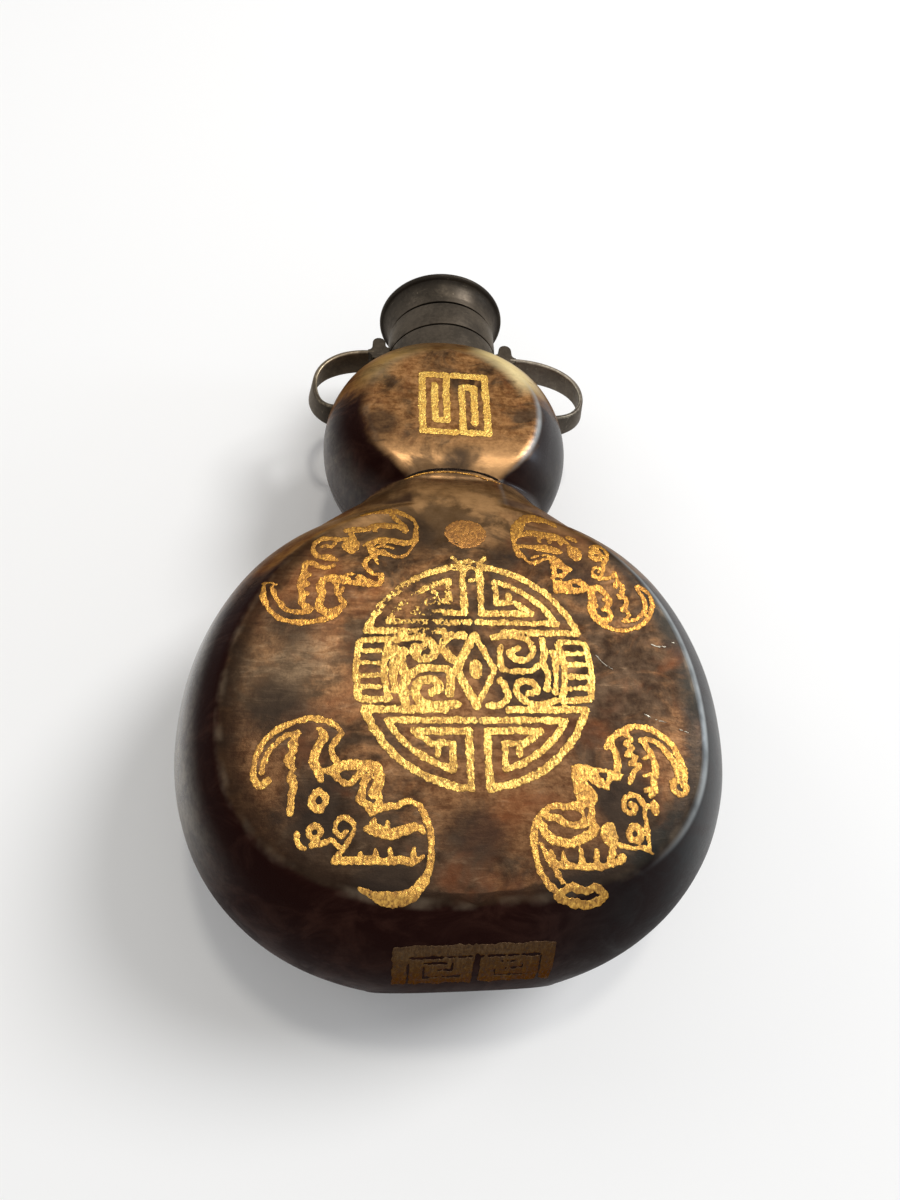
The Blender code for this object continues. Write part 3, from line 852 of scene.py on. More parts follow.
def leaf_mesh(name, shapes, ground, speckle, rubbed, ragged):
    """Cuts the drawn shapes out of a fine grid and lays them on the ground surface."""
    low, high = reach_of(shapes)
    xs = np.arange(low[0], high[0], LEAF_CELL)
    ss = np.arange(low[1], high[1], LEAF_CELL)
    x, s = np.meshgrid(xs, ss, indexing="ij")
    depth = np.full(x.shape, FAR_OFF)
    for shape in shapes:
        if shape[0] == "bare":
            for hole in shape[1]:
                depth = np.maximum(depth, -leaf_distance(hole, x, s))
        else:
            depth = np.minimum(depth, leaf_distance(shape, x, s))
    wander = np.zeros(x.shape)
    flecks = np.full(x.shape, -1.0)
    for i, j in zip(*np.nonzero(depth < NEAR_LEAF)):
        spot = Vector((xs[i], ss[j], 3.7))
        for size, height in EDGE_WANDER:
            wander[i, j] += noise.noise(spot / size) * height * 2 * ragged
        small, large = (noise.noise(spot / size) for size in FLECK_SIZES)
        flecks[i, j] = small + 0.7 * large - speckle
    for across, station, reach, loss in rubbed:
        flecks += loss * np.exp(-(((x - across) ** 2 + (s - station) ** 2) / reach**2))
    depth = np.maximum(depth + wander - LEAF_SPREAD, flecks)
    inside = depth < 0
    corners, cuts, faces, spots = {}, {}, [], []

    def corner(i, j):
        if (i, j) not in corners:
            corners[i, j] = len(spots)
            spots.append((xs[i], ss[j]))
        return corners[i, j]

    def cut(first, second):
        key = (min(first, second), max(first, second))
        if key not in cuts:
            share = depth[key[0]] / (depth[key[0]] - depth[key[1]])
            share = min(CUT_SHARES[1], max(CUT_SHARES[0], share))
            cuts[key] = len(spots)
            spots.append(
                (
                    xs[key[0][0]] + share * (xs[key[1][0]] - xs[key[0][0]]),
                    ss[key[0][1]] + share * (ss[key[1][1]] - ss[key[0][1]]),
                )
            )
        return cuts[key]

    some = inside[:-1, :-1] | inside[1:, :-1] | inside[1:, 1:] | inside[:-1, 1:]
    for i, j in zip(*np.nonzero(some)):
        loop = ((i, j), (i + 1, j), (i + 1, j + 1), (i, j + 1))
        face = []
        for here, after in zip(loop, loop[1:] + loop[:1]):
            if inside[here]:
                face.append(corner(*here))
            if inside[here] != inside[after]:
                face.append(cut(here, after))
        faces.append(face)
    points = []
    for across, station in spots:
        start = Vector((across * MM, to_y(station * MM), 0.2))
        place, normal, _, _ = ground.ray_cast(start, Vector((0, 0, -1)))
        points.append(place + normal * LEAF_RISE)
    mesh = bpy.data.meshes.new(name)
    mesh.from_pydata(points, [], faces)
    mesh.validate()
    mesh.shade_smooth()
    return mesh


def gold_leaf(name, bright, dull, worn):
    """Beaten leaf: fine slanting brush marks and sparks, duller where it has rubbed thin."""
    finish = Finish(name)
    place = finish.place()
    strokes = finish.cloud(finish.stretched(place, (3.4, 1.0, 1.0), -0.6), 0.0016, 4.0, 0.72, 0.3)
    grain = finish.cloud(place, 0.0007, 3.0, 0.6)
    blush = finish.cloud(place, 0.006, 5.0, 0.66, 0.8)
    tone = finish.window(strokes * 0.55 + grain * 0.25 + blush * 0.3, 0.50, 0.68)
    colour = finish.blend(tone, dull, bright)
    crack = finish.window(finish.cell_edges(place, 0.0017), 0.0, 0.07, 0.45, 0.0)
    pits = finish.window(grain * 0.6 + strokes * 0.4, 0.40, 0.46, 0.75, 0.0)
    thin = finish.window(blush * 0.6 + strokes * 0.4, 0.56, 0.68)
    thin = thin.at_least(crack).at_least(pits)
    colour = finish.blend(thin * 0.85, colour, worn)
    bump = finish.bump(grain * 0.4 + strokes * 0.6, 0.00030, 0.9)
    return finish.skin(
        Base_Color=colour,
        Metallic=1.0 - thin * 0.35,
        Roughness=finish.window(strokes, 0.35, 0.65, 0.44, 0.24),
        Normal=bump,
        Specular_Tint=(0.50, 0.38, 0.24, 1.0),
    )


LOWER_RIGHT_BAT = [
    line(1.6, (31.6, 49.5), (32.5, 51), (34.3, 52.6), (36.5, 53.6), (38.5, 54.1), (41, 54),
         (43.5, 53), (45.5, 51.6), (47.3, 49.4), (48.3, 47), (48.9, 44.5), (48.9, 42),
         (48.4, 40.5)), ring(47.4, 40.3, 2.3, 2.3, 0.85),
    line(1.5, (39.8, 50.9), (42, 51), (44.2, 49.8), (46, 47.4), (47.2, 45), (47.6, 42.5)),
    line(1.9, (32.4, 50.2), (33.3, 48), (33.5, 46), (33.2, 43.3)),
    line(1.2, (33.9, 52.4), (36, 52.4), (37.6, 51.1), (36, 50.2), (37.4, 49.3), (36, 47.7),
         (38.1, 47), (36.4, 45.4), (38.7, 45.2), (37, 43.7), (36, 41.6)),
    line(1.5, (40.5, 50.5), (41.8, 47.5), (42.3, 44.5), (41.6, 42), (41.4, 40), (40.3, 38.4)),
    line(1.0, (41.8, 47.3), (39.8, 46.7)), line(1.0, (41.8, 43.5), (39.4, 42.9)),
    line(1.0, (41.2, 40.2), (39.4, 39.6)), blob(40.7, 36, 1.0, 1.8),
    line(1.2, (40.8, 36), (38.5, 36.6), (37.4, 38.1), (36, 38.6), (34.2, 37.9), (33.7, 35.9),
         (34.9, 34.7), (36.2, 35.2), (36, 36.5), (35.3, 36.6)),
    line(1.0, (38.5, 36.6), (38.3, 33.8), (38.4, 30.6), (38.5, 26.6)),
    line(0.9, (31, 28.4), (34.2, 27.5), (36.7, 27.5), (39, 26.3)), blob(29.7, 30.2, 1.9, 2.6),
    line(1.3, (30, 28), (30, 26.3)), ring(35.5, 30.4, 2.0, 2.3, 0.7),
    patch((22.6, 45), (24.3, 45.4), (27, 45), (29, 44.5), (31.5, 44), (34.5, 43.2), (33.5, 42),
          (31.5, 42), (31, 41), (30.8, 39.8), (28.5, 40.5), (25.3, 42.5), (27.5, 39.2),
          (27.8, 37.8), (26.8, 36.2), (26.8, 32.5), (24.5, 33), (24, 35.2), (21, 35.8),
          (23.3, 37.2), (22.7, 40.5)),
    line(1.5, (23.4, 36.8), (21, 36.2), (18.5, 36.6), (15.5, 35.3), (13.6, 32.8), (12.7, 30),
         (12.9, 27), (13.5, 24), (14.8, 21.2), (16.5, 19.5)),
    line(1.7, (16, 34.4), (18.5, 33.8), (20, 32.8), (22.5, 32.4), (26.2, 33.4)),
    line(2.0, (14.8, 32.5), (16, 30.3), (18, 29.2), (20.5, 28.8), (23, 29.4), (25.5, 30.5),
         (26.6, 31.9)), line(1.1, (14.5, 28.5), (15.5, 26), (17, 23.2), (18.5, 21)),
    line(1.5, (17, 24.6), (20, 24.2), (24, 23.8), (28, 24), (30.5, 24.6), (32, 25.5)),
    line(0.8, (16.9, 24.4, 1.8), (16.5, 27)), line(0.8, (19.2, 24.4, 2), (19, 27)),
    line(0.8, (22.8, 24.2, 2), (23, 27.2)), line(0.8, (26.2, 24.2, 2), (26.5, 27)),
    line(0.8, (29.2, 24.6, 2), (29.5, 27)),
    line(1.5, (17, 18.3), (20, 20), (22, 19.3), (24, 19.2), (25.5, 20), (27.6, 18.2), (24.5, 16.6),
         (20.5, 17), (17.6, 17.8)),
    bare(patch((29, 43.5), (31, 43.3), (30.3, 41.9)), blob(22.5, 18.1, 1.4, 0.5),
         blob(25, 34.8, 0.4, 1.1)),
]

LOWER_LEFT_BAT = [
    line(1.3, (-28.6, 52.7), (-30, 54.2), (-32, 55.2), (-34, 55.8), (-36.1, 56), (-39.5, 55),
         (-42.3, 53.6), (-44.5, 51.8), (-46, 49.5), (-46.9, 46.8), (-47, 44), (-46.3, 42),
         (-45.2, 41.3), (-43.9, 42.3, 1.5)),
    line(1.1, (-38, 52.8), (-40, 52.3), (-42, 51), (-43.8, 49), (-44.9, 46.5), (-45.2, 44)),
    line(1.5, (-38.3, 52.8), (-39.3, 50), (-38.9, 48.8), (-40.1, 46.6), (-38.8, 45), (-39.3, 43.2),
         (-38.3, 41.2), (-38.8, 38.5), (-38.6, 35.6)), blob(-39, 50, 1.1, 1.3),
    blob(-39.6, 46.7, 1.2, 1.3), blob(-39, 43, 1.1, 1.2),
    line(2.0, (-33.5, 53.5, 1.2), (-32.5, 52), (-33.3, 50), (-34.5, 47), (-33.6, 44.8),
         (-32.6, 42.3, 1.2)),
    line(1.5, (-28.7, 52.5), (-30.3, 50.3), (-30.6, 48.5), (-29.8, 46.8), (-28.5, 45.5)),
    line(2.2, (-32, 44.5, 1.2), (-30, 44.6), (-28.5, 45.4), (-26, 45.6), (-23.5, 45.7),
         (-21, 45.4)),
    line(1.4, (-30, 43.9), (-28.2, 42), (-26.5, 41.7), (-25, 43.2), (-23.4, 44.6)),
    line(2.4, (-20.8, 45.2), (-20.3, 43), (-20.6, 41), (-21.5, 39.5)),
    line(1.6, (-22.2, 43.6), (-23.4, 41.8), (-23.8, 39.6), (-24.3, 38.1), (-22.6, 37.2),
         (-21.6, 35.6)), line(1.6, (-20.6, 40.4), (-20.2, 38.4), (-20.6, 36.6)),
    line(1.4, (-21, 36), (-18.8, 36.6), (-16.5, 36.9), (-14.5, 37.9), (-12.5, 37.4), (-11, 36),
         (-10.2, 34), (-9.4, 32), (-9.2, 29.5), (-9.1, 27), (-9.5, 24.8, 1.6), (-10.4, 22.6, 2),
         (-11.9, 20.6, 2.5), (-13.6, 19.2, 2.8), (-15.7, 18.6, 3), (-18.5, 18.6, 2.8),
         (-21, 19.3, 1.6), (-24, 20.6, 0.8)),
    line(2.3, (-22.8, 32.2, 1.4), (-20.5, 31.9), (-18, 31.3), (-16, 31.4), (-14, 32.2),
         (-12, 32.4, 1.6), (-10.6, 31.5, 1.2)), line(1.0, (-21.6, 32, 1.8), (-21.2, 34)),
    line(1.0, (-18.6, 31.6, 1.8), (-18.2, 33.6)),
    line(1.5, (-29.5, 26, 0.8), (-26.5, 26), (-24, 26.2), (-21, 25.9), (-18, 25.8), (-15.5, 26),
         (-13.2, 25.6), (-11, 26.4, 1)), line(0.7, (-20.8, 26.2, 1.6), (-20.8, 28.3)),
    line(0.7, (-17.8, 26.2, 1.6), (-17.8, 28.2)), line(0.7, (-13, 26.2, 1.6), (-12.8, 28.5)),
    line(0.7, (-24, 26.4, 1.4), (-24, 27.6)), ring(-33, 38.2, 2.1, 2.6, 0.95),
    ring(-33.5, 31.8, 1.8, 1.8, 0.6),
    line(1.1, (-34, 29.3), (-31.5, 29.5), (-30, 30.2), (-28.8, 29.2), (-27.5, 28.5), (-26, 30.5),
         (-25.3, 32.5), (-26.3, 34.2), (-28, 34.6), (-29.3, 33.4), (-29, 31.5), (-27.8, 31),
         (-26.8, 31.8)), line(1.0, (-27.5, 28.5), (-28.5, 27), (-29.3, 26.3)),
    line(1.0, (-37, 31.6), (-36.8, 29.8), (-35.5, 28.6)),
]

UPPER_RIGHT_BAT = [
    line(2.6, (25.6, 108.6, 0.7), (24, 109.7, 1.3), (22.2, 110.8, 1.9), (20, 111.6), (17.5, 111),
         (15.7, 109.2, 3), (14.6, 107, 3.3), (14, 105.2, 2.4), (13.6, 103, 1.1), (14, 101, 1.4),
         (14.6, 99.3, 1.9), (15.6, 98.6, 1.2)),
    line(1.7, (14, 105), (15.7, 105.3), (17.2, 105.9), (19.5, 106), (21.7, 105.4, 2.3),
         (23.6, 105, 2.5), (25.5, 104.7, 1.8), (27, 103.8, 1.2), (28.2, 102.7, 0.8)),
    line(0.9, (20.6, 105, 1.4), (20.3, 103.4)), line(0.9, (23.2, 104.6, 1.6), (23, 103.2)),
    line(0.9, (25.8, 104.2, 1.3), (26, 102.7)),
    line(1.1, (28.2, 104.9), (29.5, 104.3), (30.4, 103.6, 0.7)),
    line(2.1, (14.4, 101.6, 1), (16.2, 101.7, 0.9), (18.6, 101.4, 1.4), (20.6, 101.2),
         (22.6, 100.9), (24.2, 100.6), (25.4, 100.1, 1.2)),
    line(1.0, (16, 98.6, 0.7), (16.5, 97.2), (17.6, 96.6), (19.2, 97), (20.7, 97.8), (22.4, 98.2)),
    line(0.6, (17.6, 98), (19.2, 98.6), (21, 99), (22.8, 98.9)),
    patch((22, 98.4), (23.2, 98.9), (25.1, 98), (25.8, 96.8), (27, 95.8), (28.2, 94.9),
          (27.1, 94.2), (26.2, 93.3), (25.6, 92.4), (24.3, 91.5), (26, 91.6), (27.2, 91.9),
          (28.3, 92.3), (29.8, 92.2), (31, 91.3), (32.1, 90.2), (31.4, 89.3), (30.5, 88.5),
          (29, 88.3), (27, 88.2), (25, 88.4), (22.8, 88.3), (22.9, 89.5), (22.7, 91), (22.3, 92.5),
          (22.8, 93.7), (22.8, 95), (22.7, 96.5)),
    line(2.0, (32.2, 89.4), (32.1, 87.5), (32.5, 86), (31.8, 84.8), (32.1, 83), (32.9, 81.7),
         (34.2, 80.9)),
    line(1.7, (33, 89.9), (34.5, 89.9), (35.6, 88.7), (36.5, 87.4), (36.7, 86), (35.9, 84.5),
         (36.6, 82.8), (36, 81.3), (34.6, 80.8)), blob(35.6, 86.6, 0.7, 0.6),
    blob(35.2, 84, 0.8, 0.6), blob(33, 84.9, 0.8, 0.6),
    line(1.3, (33.2, 80.5, 0.8), (35, 79.4), (37, 78.6), (39, 78.3), (41, 78.6), (43, 79.3),
         (44.8, 80.4), (46.2, 81.9), (47.3, 83.6), (47.9, 85.4), (47.9, 87.3), (47.2, 89),
         (46.2, 90), (45.2, 90.5)), blob(44.9, 90.4, 1.0, 0.8),
    line(1.1, (44.6, 89.9), (45, 88.7), (45.9, 87.2), (46.1, 85.3), (45.6, 83.7), (44.5, 82.4),
         (43, 81.4), (41.3, 80.9), (39.8, 81)),
    line(1.2, (38.8, 90.5), (39.4, 91.3), (40.3, 91.1), (40.7, 90), (40.4, 88.9), (39.7, 87.8),
         (40.9, 87.3), (41.3, 86), (40.6, 84.9), (39.7, 84), (41, 83.4), (41.1, 82.2),
         (39.9, 81.2)), line(0.7, (39.4, 94.4), (39.6, 93), (39.6, 91.4)),
    ring(34.6, 94.4, 1.75, 1.75, 0.85), blob(34.9, 94.5, 0.45),
    line(1.1, (33.4, 93.3), (34.5, 92.7), (36.5, 92.6), (38.3, 93.2), (39.2, 94.3)),
    line(1.1, (36.1, 94.8), (36.4, 96.5), (37.4, 98), (37.4, 99.2)), blob(29.4, 99.8, 1.9, 2.2),
    blob(28.2, 101.6, 0.8, 0.7), ring(34.8, 99.6, 1.9, 2.1, 0.5),
    line(0.8, (33.5, 101.9), (35.6, 102.5), (37.4, 101.6), (38, 100)),
    bare(blob(28.4, 90.3, 0.9, 0.45), patch((24.1, 95.1), (25.1, 94.9), (25.2, 94.1),
         (24.3, 93.9)), blob(24, 92.2, 0.8, 0.25), blob(17.4, 100.4, 0.9, 0.35)),
]

UPPER_LEFT_BAT = [
    line(1.4, (-26, 110.3, 0.5), (-24.5, 111, 0.9), (-22.5, 111.6, 1.2), (-20, 112),
         (-18, 112.3, 1.9), (-16, 112, 1.7), (-14.5, 111.1), (-13, 110, 1.2), (-12, 108.7, 1),
         (-11.6, 107.2, 0.9), (-11.7, 105.5, 1.1), (-11.8, 104, 1.4), (-12, 102.5, 1.6),
         (-12.5, 101, 1.1), (-13.2, 99.5, 0.8), (-14.2, 98.2, 0.7), (-15.3, 97.5, 0.8),
         (-17, 97.3, 1), (-18.5, 97.7, 1.2), (-20.4, 98.4, 1.6)),
    line(1.3, (-17.9, 110.9), (-16.9, 109.5), (-16, 108.3), (-15, 107.2), (-14.2, 106),
         (-14.6, 105.1)),
    line(1.7, (-29.6, 104.8, 1.2), (-28, 105.2), (-26, 105.3), (-24, 105.8), (-22.5, 106.5, 1.9),
         (-21, 107), (-19, 106.9), (-17, 106.9), (-15.5, 106.5), (-14.5, 105.8)),
    line(1.6, (-28.6, 105), (-28.1, 103.6), (-27.6, 102.2)),
    line(0.9, (-22.6, 106, 1.4), (-22, 105)),
    line(1.8, (-24.9, 100.4, 1), (-23.5, 101), (-22, 101.8), (-20, 102.2), (-18, 102.1),
         (-16, 101.7), (-14, 101.6), (-12.4, 102.1, 1.4)),
    line(1.0, (-23.6, 99.5), (-21.5, 100.2), (-19.5, 100.3), (-17.6, 99.8, 0.6)),
    line(2.0, (-23.4, 100.2), (-22.8, 98.8), (-22.2, 97.6, 1.6)),
    line(1.8, (-22.6, 98.4), (-21, 98.5), (-19.6, 98.8, 1.2)),
    line(1.2, (-22.6, 97.4), (-24, 96.2), (-24.6, 94.9), (-24, 93.6), (-22.9, 92.7), (-21.8, 92.2),
         (-20.6, 92.3)), line(1.1, (-22.2, 97.2), (-21.7, 96), (-21.4, 95.2, 0.7)),
    line(1.5, (-20.6, 92.2), (-20.5, 90.8), (-21, 89.7), (-22.4, 89.5), (-24.5, 89.7)),
    line(2.3, (-35, 90, 1.6), (-33.3, 90.7), (-31.3, 90.6), (-29.4, 90.3), (-27.6, 89.9, 2),
         (-25.6, 90.1), (-23.6, 89.8, 1.9), (-22, 89.6, 1.4)),
    line(0.9, (-29.6, 91.2), (-28.4, 92.1), (-27.2, 92)),
    line(1.1, (-26, 91.4), (-25, 91.2), (-24.2, 90.4)), blob(-28.1, 100.2, 2.2, 2.3),
    line(1.2, (-28.4, 102.2), (-31, 102), (-33, 102.1), (-35, 102), (-36.5, 101), (-37.3, 99.6),
         (-37.2, 98), (-36.2, 96.9), (-34.8, 96.6)),
    line(0.8, (-35.4, 99.6), (-34.2, 100), (-33, 99.6), (-32.3, 100.2), (-32, 101)),
    line(1.7, (-35.4, 96.6, 1), (-33.6, 96.6), (-32.2, 96.1, 1.3), (-31, 95.6, 0.6)),
    line(1.3, (-39.2, 94.2), (-38.2, 94.8), (-36.8, 94.5), (-35.4, 93.7), (-34, 93.6),
         (-32.8, 94, 1), (-31.8, 94.5, 0.5)),
    line(1.7, (-39, 94), (-39.1, 92), (-39.5, 90), (-39.8, 88), (-39.2, 86), (-39.4, 84.4),
         (-38.4, 83.1), (-37.4, 82.6)), blob(-38.5, 91.6, 1.0, 0.8), blob(-38.6, 89, 0.9, 0.7),
    blob(-38.4, 86.4, 1.0, 0.7),
    line(2.0, (-34.7, 90.2), (-35.2, 88.2), (-34.6, 86.2), (-35.1, 84.2), (-34.8, 82.8),
         (-33.9, 82)),
    line(1.3, (-31.4, 89.6), (-31.2, 87.8), (-30.7, 86.2), (-29.8, 85), (-29.1, 83.9), (-30, 82.9),
         (-31.6, 82.2), (-33.2, 82)), line(0.8, (-31, 86.6), (-30, 87.2), (-29.7, 88.4)),
    line(1.3, (-48.4, 88.2, 0.9), (-48.4, 86, 1.2), (-47.8, 84), (-46.5, 82), (-44.8, 80.5),
         (-42.8, 79.5), (-40.5, 79.1), (-38, 79.1), (-35.5, 79.5), (-33.4, 80.1, 1.7),
         (-31.6, 81.1, 1.8), (-30.2, 82.3)),
    line(1.2, (-46.4, 88, 0.8), (-45.7, 86), (-44.6, 84.2), (-43.1, 82.5), (-41.3, 81.8),
         (-39.3, 81.6), (-37.6, 81.7), (-36.9, 82.6)),
    line(0.6, (-48.6, 89), (-47, 89.2), (-45.4, 88.6)),
    bare(blob(-27.1, 90.7, 0.9, 0.35), line(0.35, (-22.8, 99.9), (-20.4, 100.9), (-17.6, 100.6))),
]


ROUNDEL_CENTRE = (1.9, 67.7)


def flipped(points, centre, across, along):
    """Points counted from a centre, turned over sideways or lengthways by -1."""
    return [(centre[0] + across * x, centre[1] + along * s) for x, s in points]


def around(radius, start, end):
    """Points along an arc about the roundel's centre, the angles counted from its belt."""
    turns = [math.radians(start + (end - start) * index / 14) for index in range(15)]
    return [(radius * math.cos(turn), radius * math.sin(turn)) for turn in turns]


ROUNDEL_QUARTER = (
    (1.75, [(7.4, 9.6), (25.6, 9.6)] + around(27.4, 20.5, 85.6) + [(2.1, 14.6),
     (14.4, 14.6)] + around(20.4, 45.6, 59)),
    (1.55, [(0.9, 12.1), (20.6, 12.1)] + around(23.9, 30.4, 76) + [(5.9, 17.4), (9.2, 17.4),
     (9.2, 19.8)]),
)
ROUNDEL_SIDE = (
    (1.6, [(20.4, 7.4), (26.3, 7.1)] + around(27.9, 14, -14) + [(26.3, -7.1),
     (20.4, -7.4)] + around(21.4, -19, 19)), (1.3, [(22.4, 4.4), (26.4, 4.4)]),
    (1.3, [(22.4, 1.5), (27.0, 1.5)]), (1.3, [(22.4, -1.5), (27.0, -1.5)]),
    (1.3, [(22.4, -4.4), (26.4, -4.4)]),
)
# Half of the belt: a lozenge's side, two hooked scrolls and the bars between them.
ROUNDEL_BELT = (
    (1.5, [(0, 8.6), (3.9, 1.2), (3.9, -1.2), (0, -8.6)]),
    (1.6, [(4.6, 8.4), (8.4, 8.7), (12.4, 8.1), (14.2, 5.6), (13.0, 3.0), (9.9, 2.6), (8.5, 4.4),
     (10.4, 5.6)]),
    (1.5, [(6.3, 5.8), (6.0, 3.2), (6.4, 0.2), (9.6, -0.3), (12.8, -0.2), (15.2, 1.2)]),
    (1.6, [(18.6, -7.4), (14.8, -8.4), (11.4, -7.6), (9.4, -5.2), (10.4, -3.0), (13.4, -2.9),
     (14.4, -5.0), (12.4, -5.6)]),
    (1.6, [(16.6, 7.9), (17.0, 4.4), (16.4, 2.0), (17.4, -1.4), (16.8, -4.6)]),
    (1.4, [(18.9, 4.8), (19.4, 1.2), (19.0, -3.2), (18.7, -5.4)]),
    (1.6, [(2.6, -8.7), (5.6, -8.4), (7.4, -6.4), (6.6, -3.6), (5.6, -2.6)]),
)
ROUNDEL_TURNED_WIDER = 1.35
ROUNDEL = [blob(*ROUNDEL_CENTRE, 1.5, 2.6)]
for across in (1, -1):
    for width, points in ROUNDEL_SIDE:
        ROUNDEL.append(bar(width, *flipped(points, ROUNDEL_CENTRE, across, 1)))
    wider = 1.0 if across > 0 else ROUNDEL_TURNED_WIDER
    for width, points in ROUNDEL_BELT:
        ROUNDEL.append(line(width * wider, *flipped(points, ROUNDEL_CENTRE, across, across)))
    for along in (1, -1):
        for width, points in ROUNDEL_QUARTER:
            ROUNDEL.append(bar(width, *flipped(points, ROUNDEL_CENTRE, across, along)))
ROUNDEL.append(line(1.3, (-0.6, 91.6), (1.0, 94.6), (3.4, 94.0), (3.4, 91.6), (1.7, 91.2)))
ROUNDEL.append(line(1.2, (-2.6, 97.6), (-1.2, 96.2), (1.4, 96.6), (3.6, 96.0), (5.4, 97.4)))

# The block on the upper bulb: two square fret spirals hooked together.
BLOCK_CENTRE = (0.6, 154.2)
BLOCK_STROKE = 2.1
BLOCK_SPIRAL = (
    (0.0, 10.6), (9.6, 10.6), (9.6, -10.6), (2.3, -10.6), (2.3, 6.4), (5.9, 6.4), (5.9, -6.9)
)
FRET_BLOCK = [
    bar(BLOCK_STROKE, *flipped(BLOCK_SPIRAL, BLOCK_CENTRE, turn, turn)) for turn in (1, -1)
]

DISC = [blob(1, 105.3, 5.5, 4.7)]
CREASE = (
    (-14.5, 128.2, 0.2), (-11.5, 129.2), (-7, 130.2), (-1, 130.6), (5, 130.1), (10, 128.9),
    (13.5, 127.6, 0.2),
)
CREASE_STRIP = [line(0.34, *CREASE)]
beside = [(spot[0] + 1, spot[1] + 0.8, spot[2] if len(spot) > 2 else 0.5) for spot in CREASE]
CREASE_SHADE = [line(0.65, *beside)]
NICKS = [
    line(0.30, (45.6, 75.0, 0.1), (47.6, 74.3), (49.8, 74.2, 0.1)),
    line(0.3, (51.2, 75.4, 0.1), (52.8, 75.2, 0.1)),
    line(0.26, (41.6, 57.2, 0.1), (44.4, 55.8), (47.0, 55.2, 0.1)),
    line(0.35, (49.5, 53.6, 0.1), (51.6, 52.8, 0.2)),
    line(0.22, (31.5, 71.8, 0.1), (33.5, 69.4), (35.4, 68.2, 0.1)),
]

# The two dull blocks: one patch with a frame, a gap in the middle and a hook in each half.
PLAQUE_LEFT, PLAQUE_RIGHT, PLAQUE_LOW, PLAQUE_HIGH = -16.7, 17.8, 2.5, 9.6
PLAQUE_FRAME = (
    (PLAQUE_LEFT + 3.2, PLAQUE_LOW - 1),
    (PLAQUE_LEFT + 3.2, PLAQUE_HIGH - 2.2),
    (PLAQUE_RIGHT - 3.0, PLAQUE_HIGH - 2.2),
    (PLAQUE_RIGHT - 3.0, PLAQUE_LOW - 1),
)
PLAQUE_HOOK = ((4.2, 3.6), (-3.6, 3.6), (-3.6, 6.3), (2.4, 6.3), (2.4, 4.9), (-1.2, 4.9))
PLAQUE_GAP = ((0.9, PLAQUE_LOW - 1), (0.9, PLAQUE_HIGH - 2.4))
PLAQUE = [
    patch(
        (PLAQUE_LEFT, PLAQUE_LOW),
        (PLAQUE_RIGHT, PLAQUE_LOW),
        (PLAQUE_RIGHT, PLAQUE_HIGH),
        (PLAQUE_LEFT, PLAQUE_HIGH),
    ),
    bare(bar(0.45, *PLAQUE_FRAME), bar(1.5, *PLAQUE_GAP)),
]
for x in (-6.6, 8.6):
    PLAQUE.append(bare(bar(0.35, *[(x + across, station) for across, station in PLAQUE_HOOK])))

PALE_GOLD = ((0.88, 0.60, 0.15), (0.50, 0.28, 0.058), (0.20, 0.100, 0.038))
BRIGHT_GOLD = ((0.82, 0.54, 0.140), (0.33, 0.185, 0.046), (0.13, 0.068, 0.028))
BAT_GOLD = ((0.76, 0.44, 0.098), (0.31, 0.155, 0.038), (0.13, 0.062, 0.026))
AMBER_GOLD = ((0.68, 0.35, 0.066), (0.28, 0.128, 0.030), (0.12, 0.055, 0.022))
COPPER_GOLD = ((0.55, 0.26, 0.066), (0.27, 0.120, 0.036), (0.11, 0.055, 0.026))
DULL_GOLD = ((0.094, 0.058, 0.032), (0.058, 0.033, 0.018), (0.022, 0.012, 0.007))
LINE_BLACK = ((0.012, 0.008, 0.006), (0.009, 0.006, 0.005), (0.03, 0.02, 0.012))
BARE_METAL = ((0.42, 0.39, 0.32), (0.28, 0.25, 0.20), (0.16, 0.13, 0.10))
# Where the roundel is rubbed nearly away, as (x, station, reach, share lost).
ROUNDEL_RUBBED = [(-16, 86, 9, 0.85), (-8, 80, 7, 0.6), (-2, 92, 7, 0.4), (10, 74, 9, 0.3)]
front = bpy.data.objects["front_half"].data
ground = BVHTree.FromPolygons(
    [vertex.co for vertex in front.vertices], [list(face.vertices) for face in front.polygons]
)
for name, shapes, gold, speckle, rubbed, ragged in (
    ("bat_lower_right", LOWER_RIGHT_BAT, BAT_GOLD, 0.95, [(36, 34, 8, 0.2)], 1),
    ("bat_lower_left", LOWER_LEFT_BAT, BAT_GOLD, 0.95, [(-18, 20, 7, 0.3)], 1),
    ("bat_upper_right", UPPER_RIGHT_BAT, AMBER_GOLD, 0.9, [(20, 103, 9, 0.15)], 1),
    ("bat_upper_left", UPPER_LEFT_BAT, AMBER_GOLD, 0.9, [(-30, 92, 9, 0.2)], 1),
    ("roundel", ROUNDEL, BRIGHT_GOLD, 0.88, ROUNDEL_RUBBED, 1),
    ("fret_block", FRET_BLOCK, PALE_GOLD, 1.0, [], 1),
    ("disc", DISC, COPPER_GOLD, 0.65, [], 1),
    ("crease_strip", CREASE_STRIP, AMBER_GOLD, 1.1, [], 0.3),
    ("crease_shade", CREASE_SHADE, LINE_BLACK, 2.0, [], 0.2),
    ("plaque", PLAQUE, DULL_GOLD, 1.0, [(-16, 3, 5, 0.4)], 0.8),
    ("nicks", NICKS, BARE_METAL, 1.1, [], 0.4),
):
    leaf = add_piece(name, leaf_mesh(name, shapes, ground, speckle, rubbed, ragged))
    leaf.data.materials.append(gold_leaf(name + "_leaf", *gold))
    thickness = leaf.modifiers.new("thickness", "SOLIDIFY")
    thickness.thickness = LEAF_DEPTH
    thickness.offset = -1.0
    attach(leaf, "root")

# ---------------------------------------------------------------- the neck
# A collar brazed into the shoulder, a band over it and a flaring mouth, each a turned ring
# of dark bronze let into the one below. The joints between them are sunk black lines.

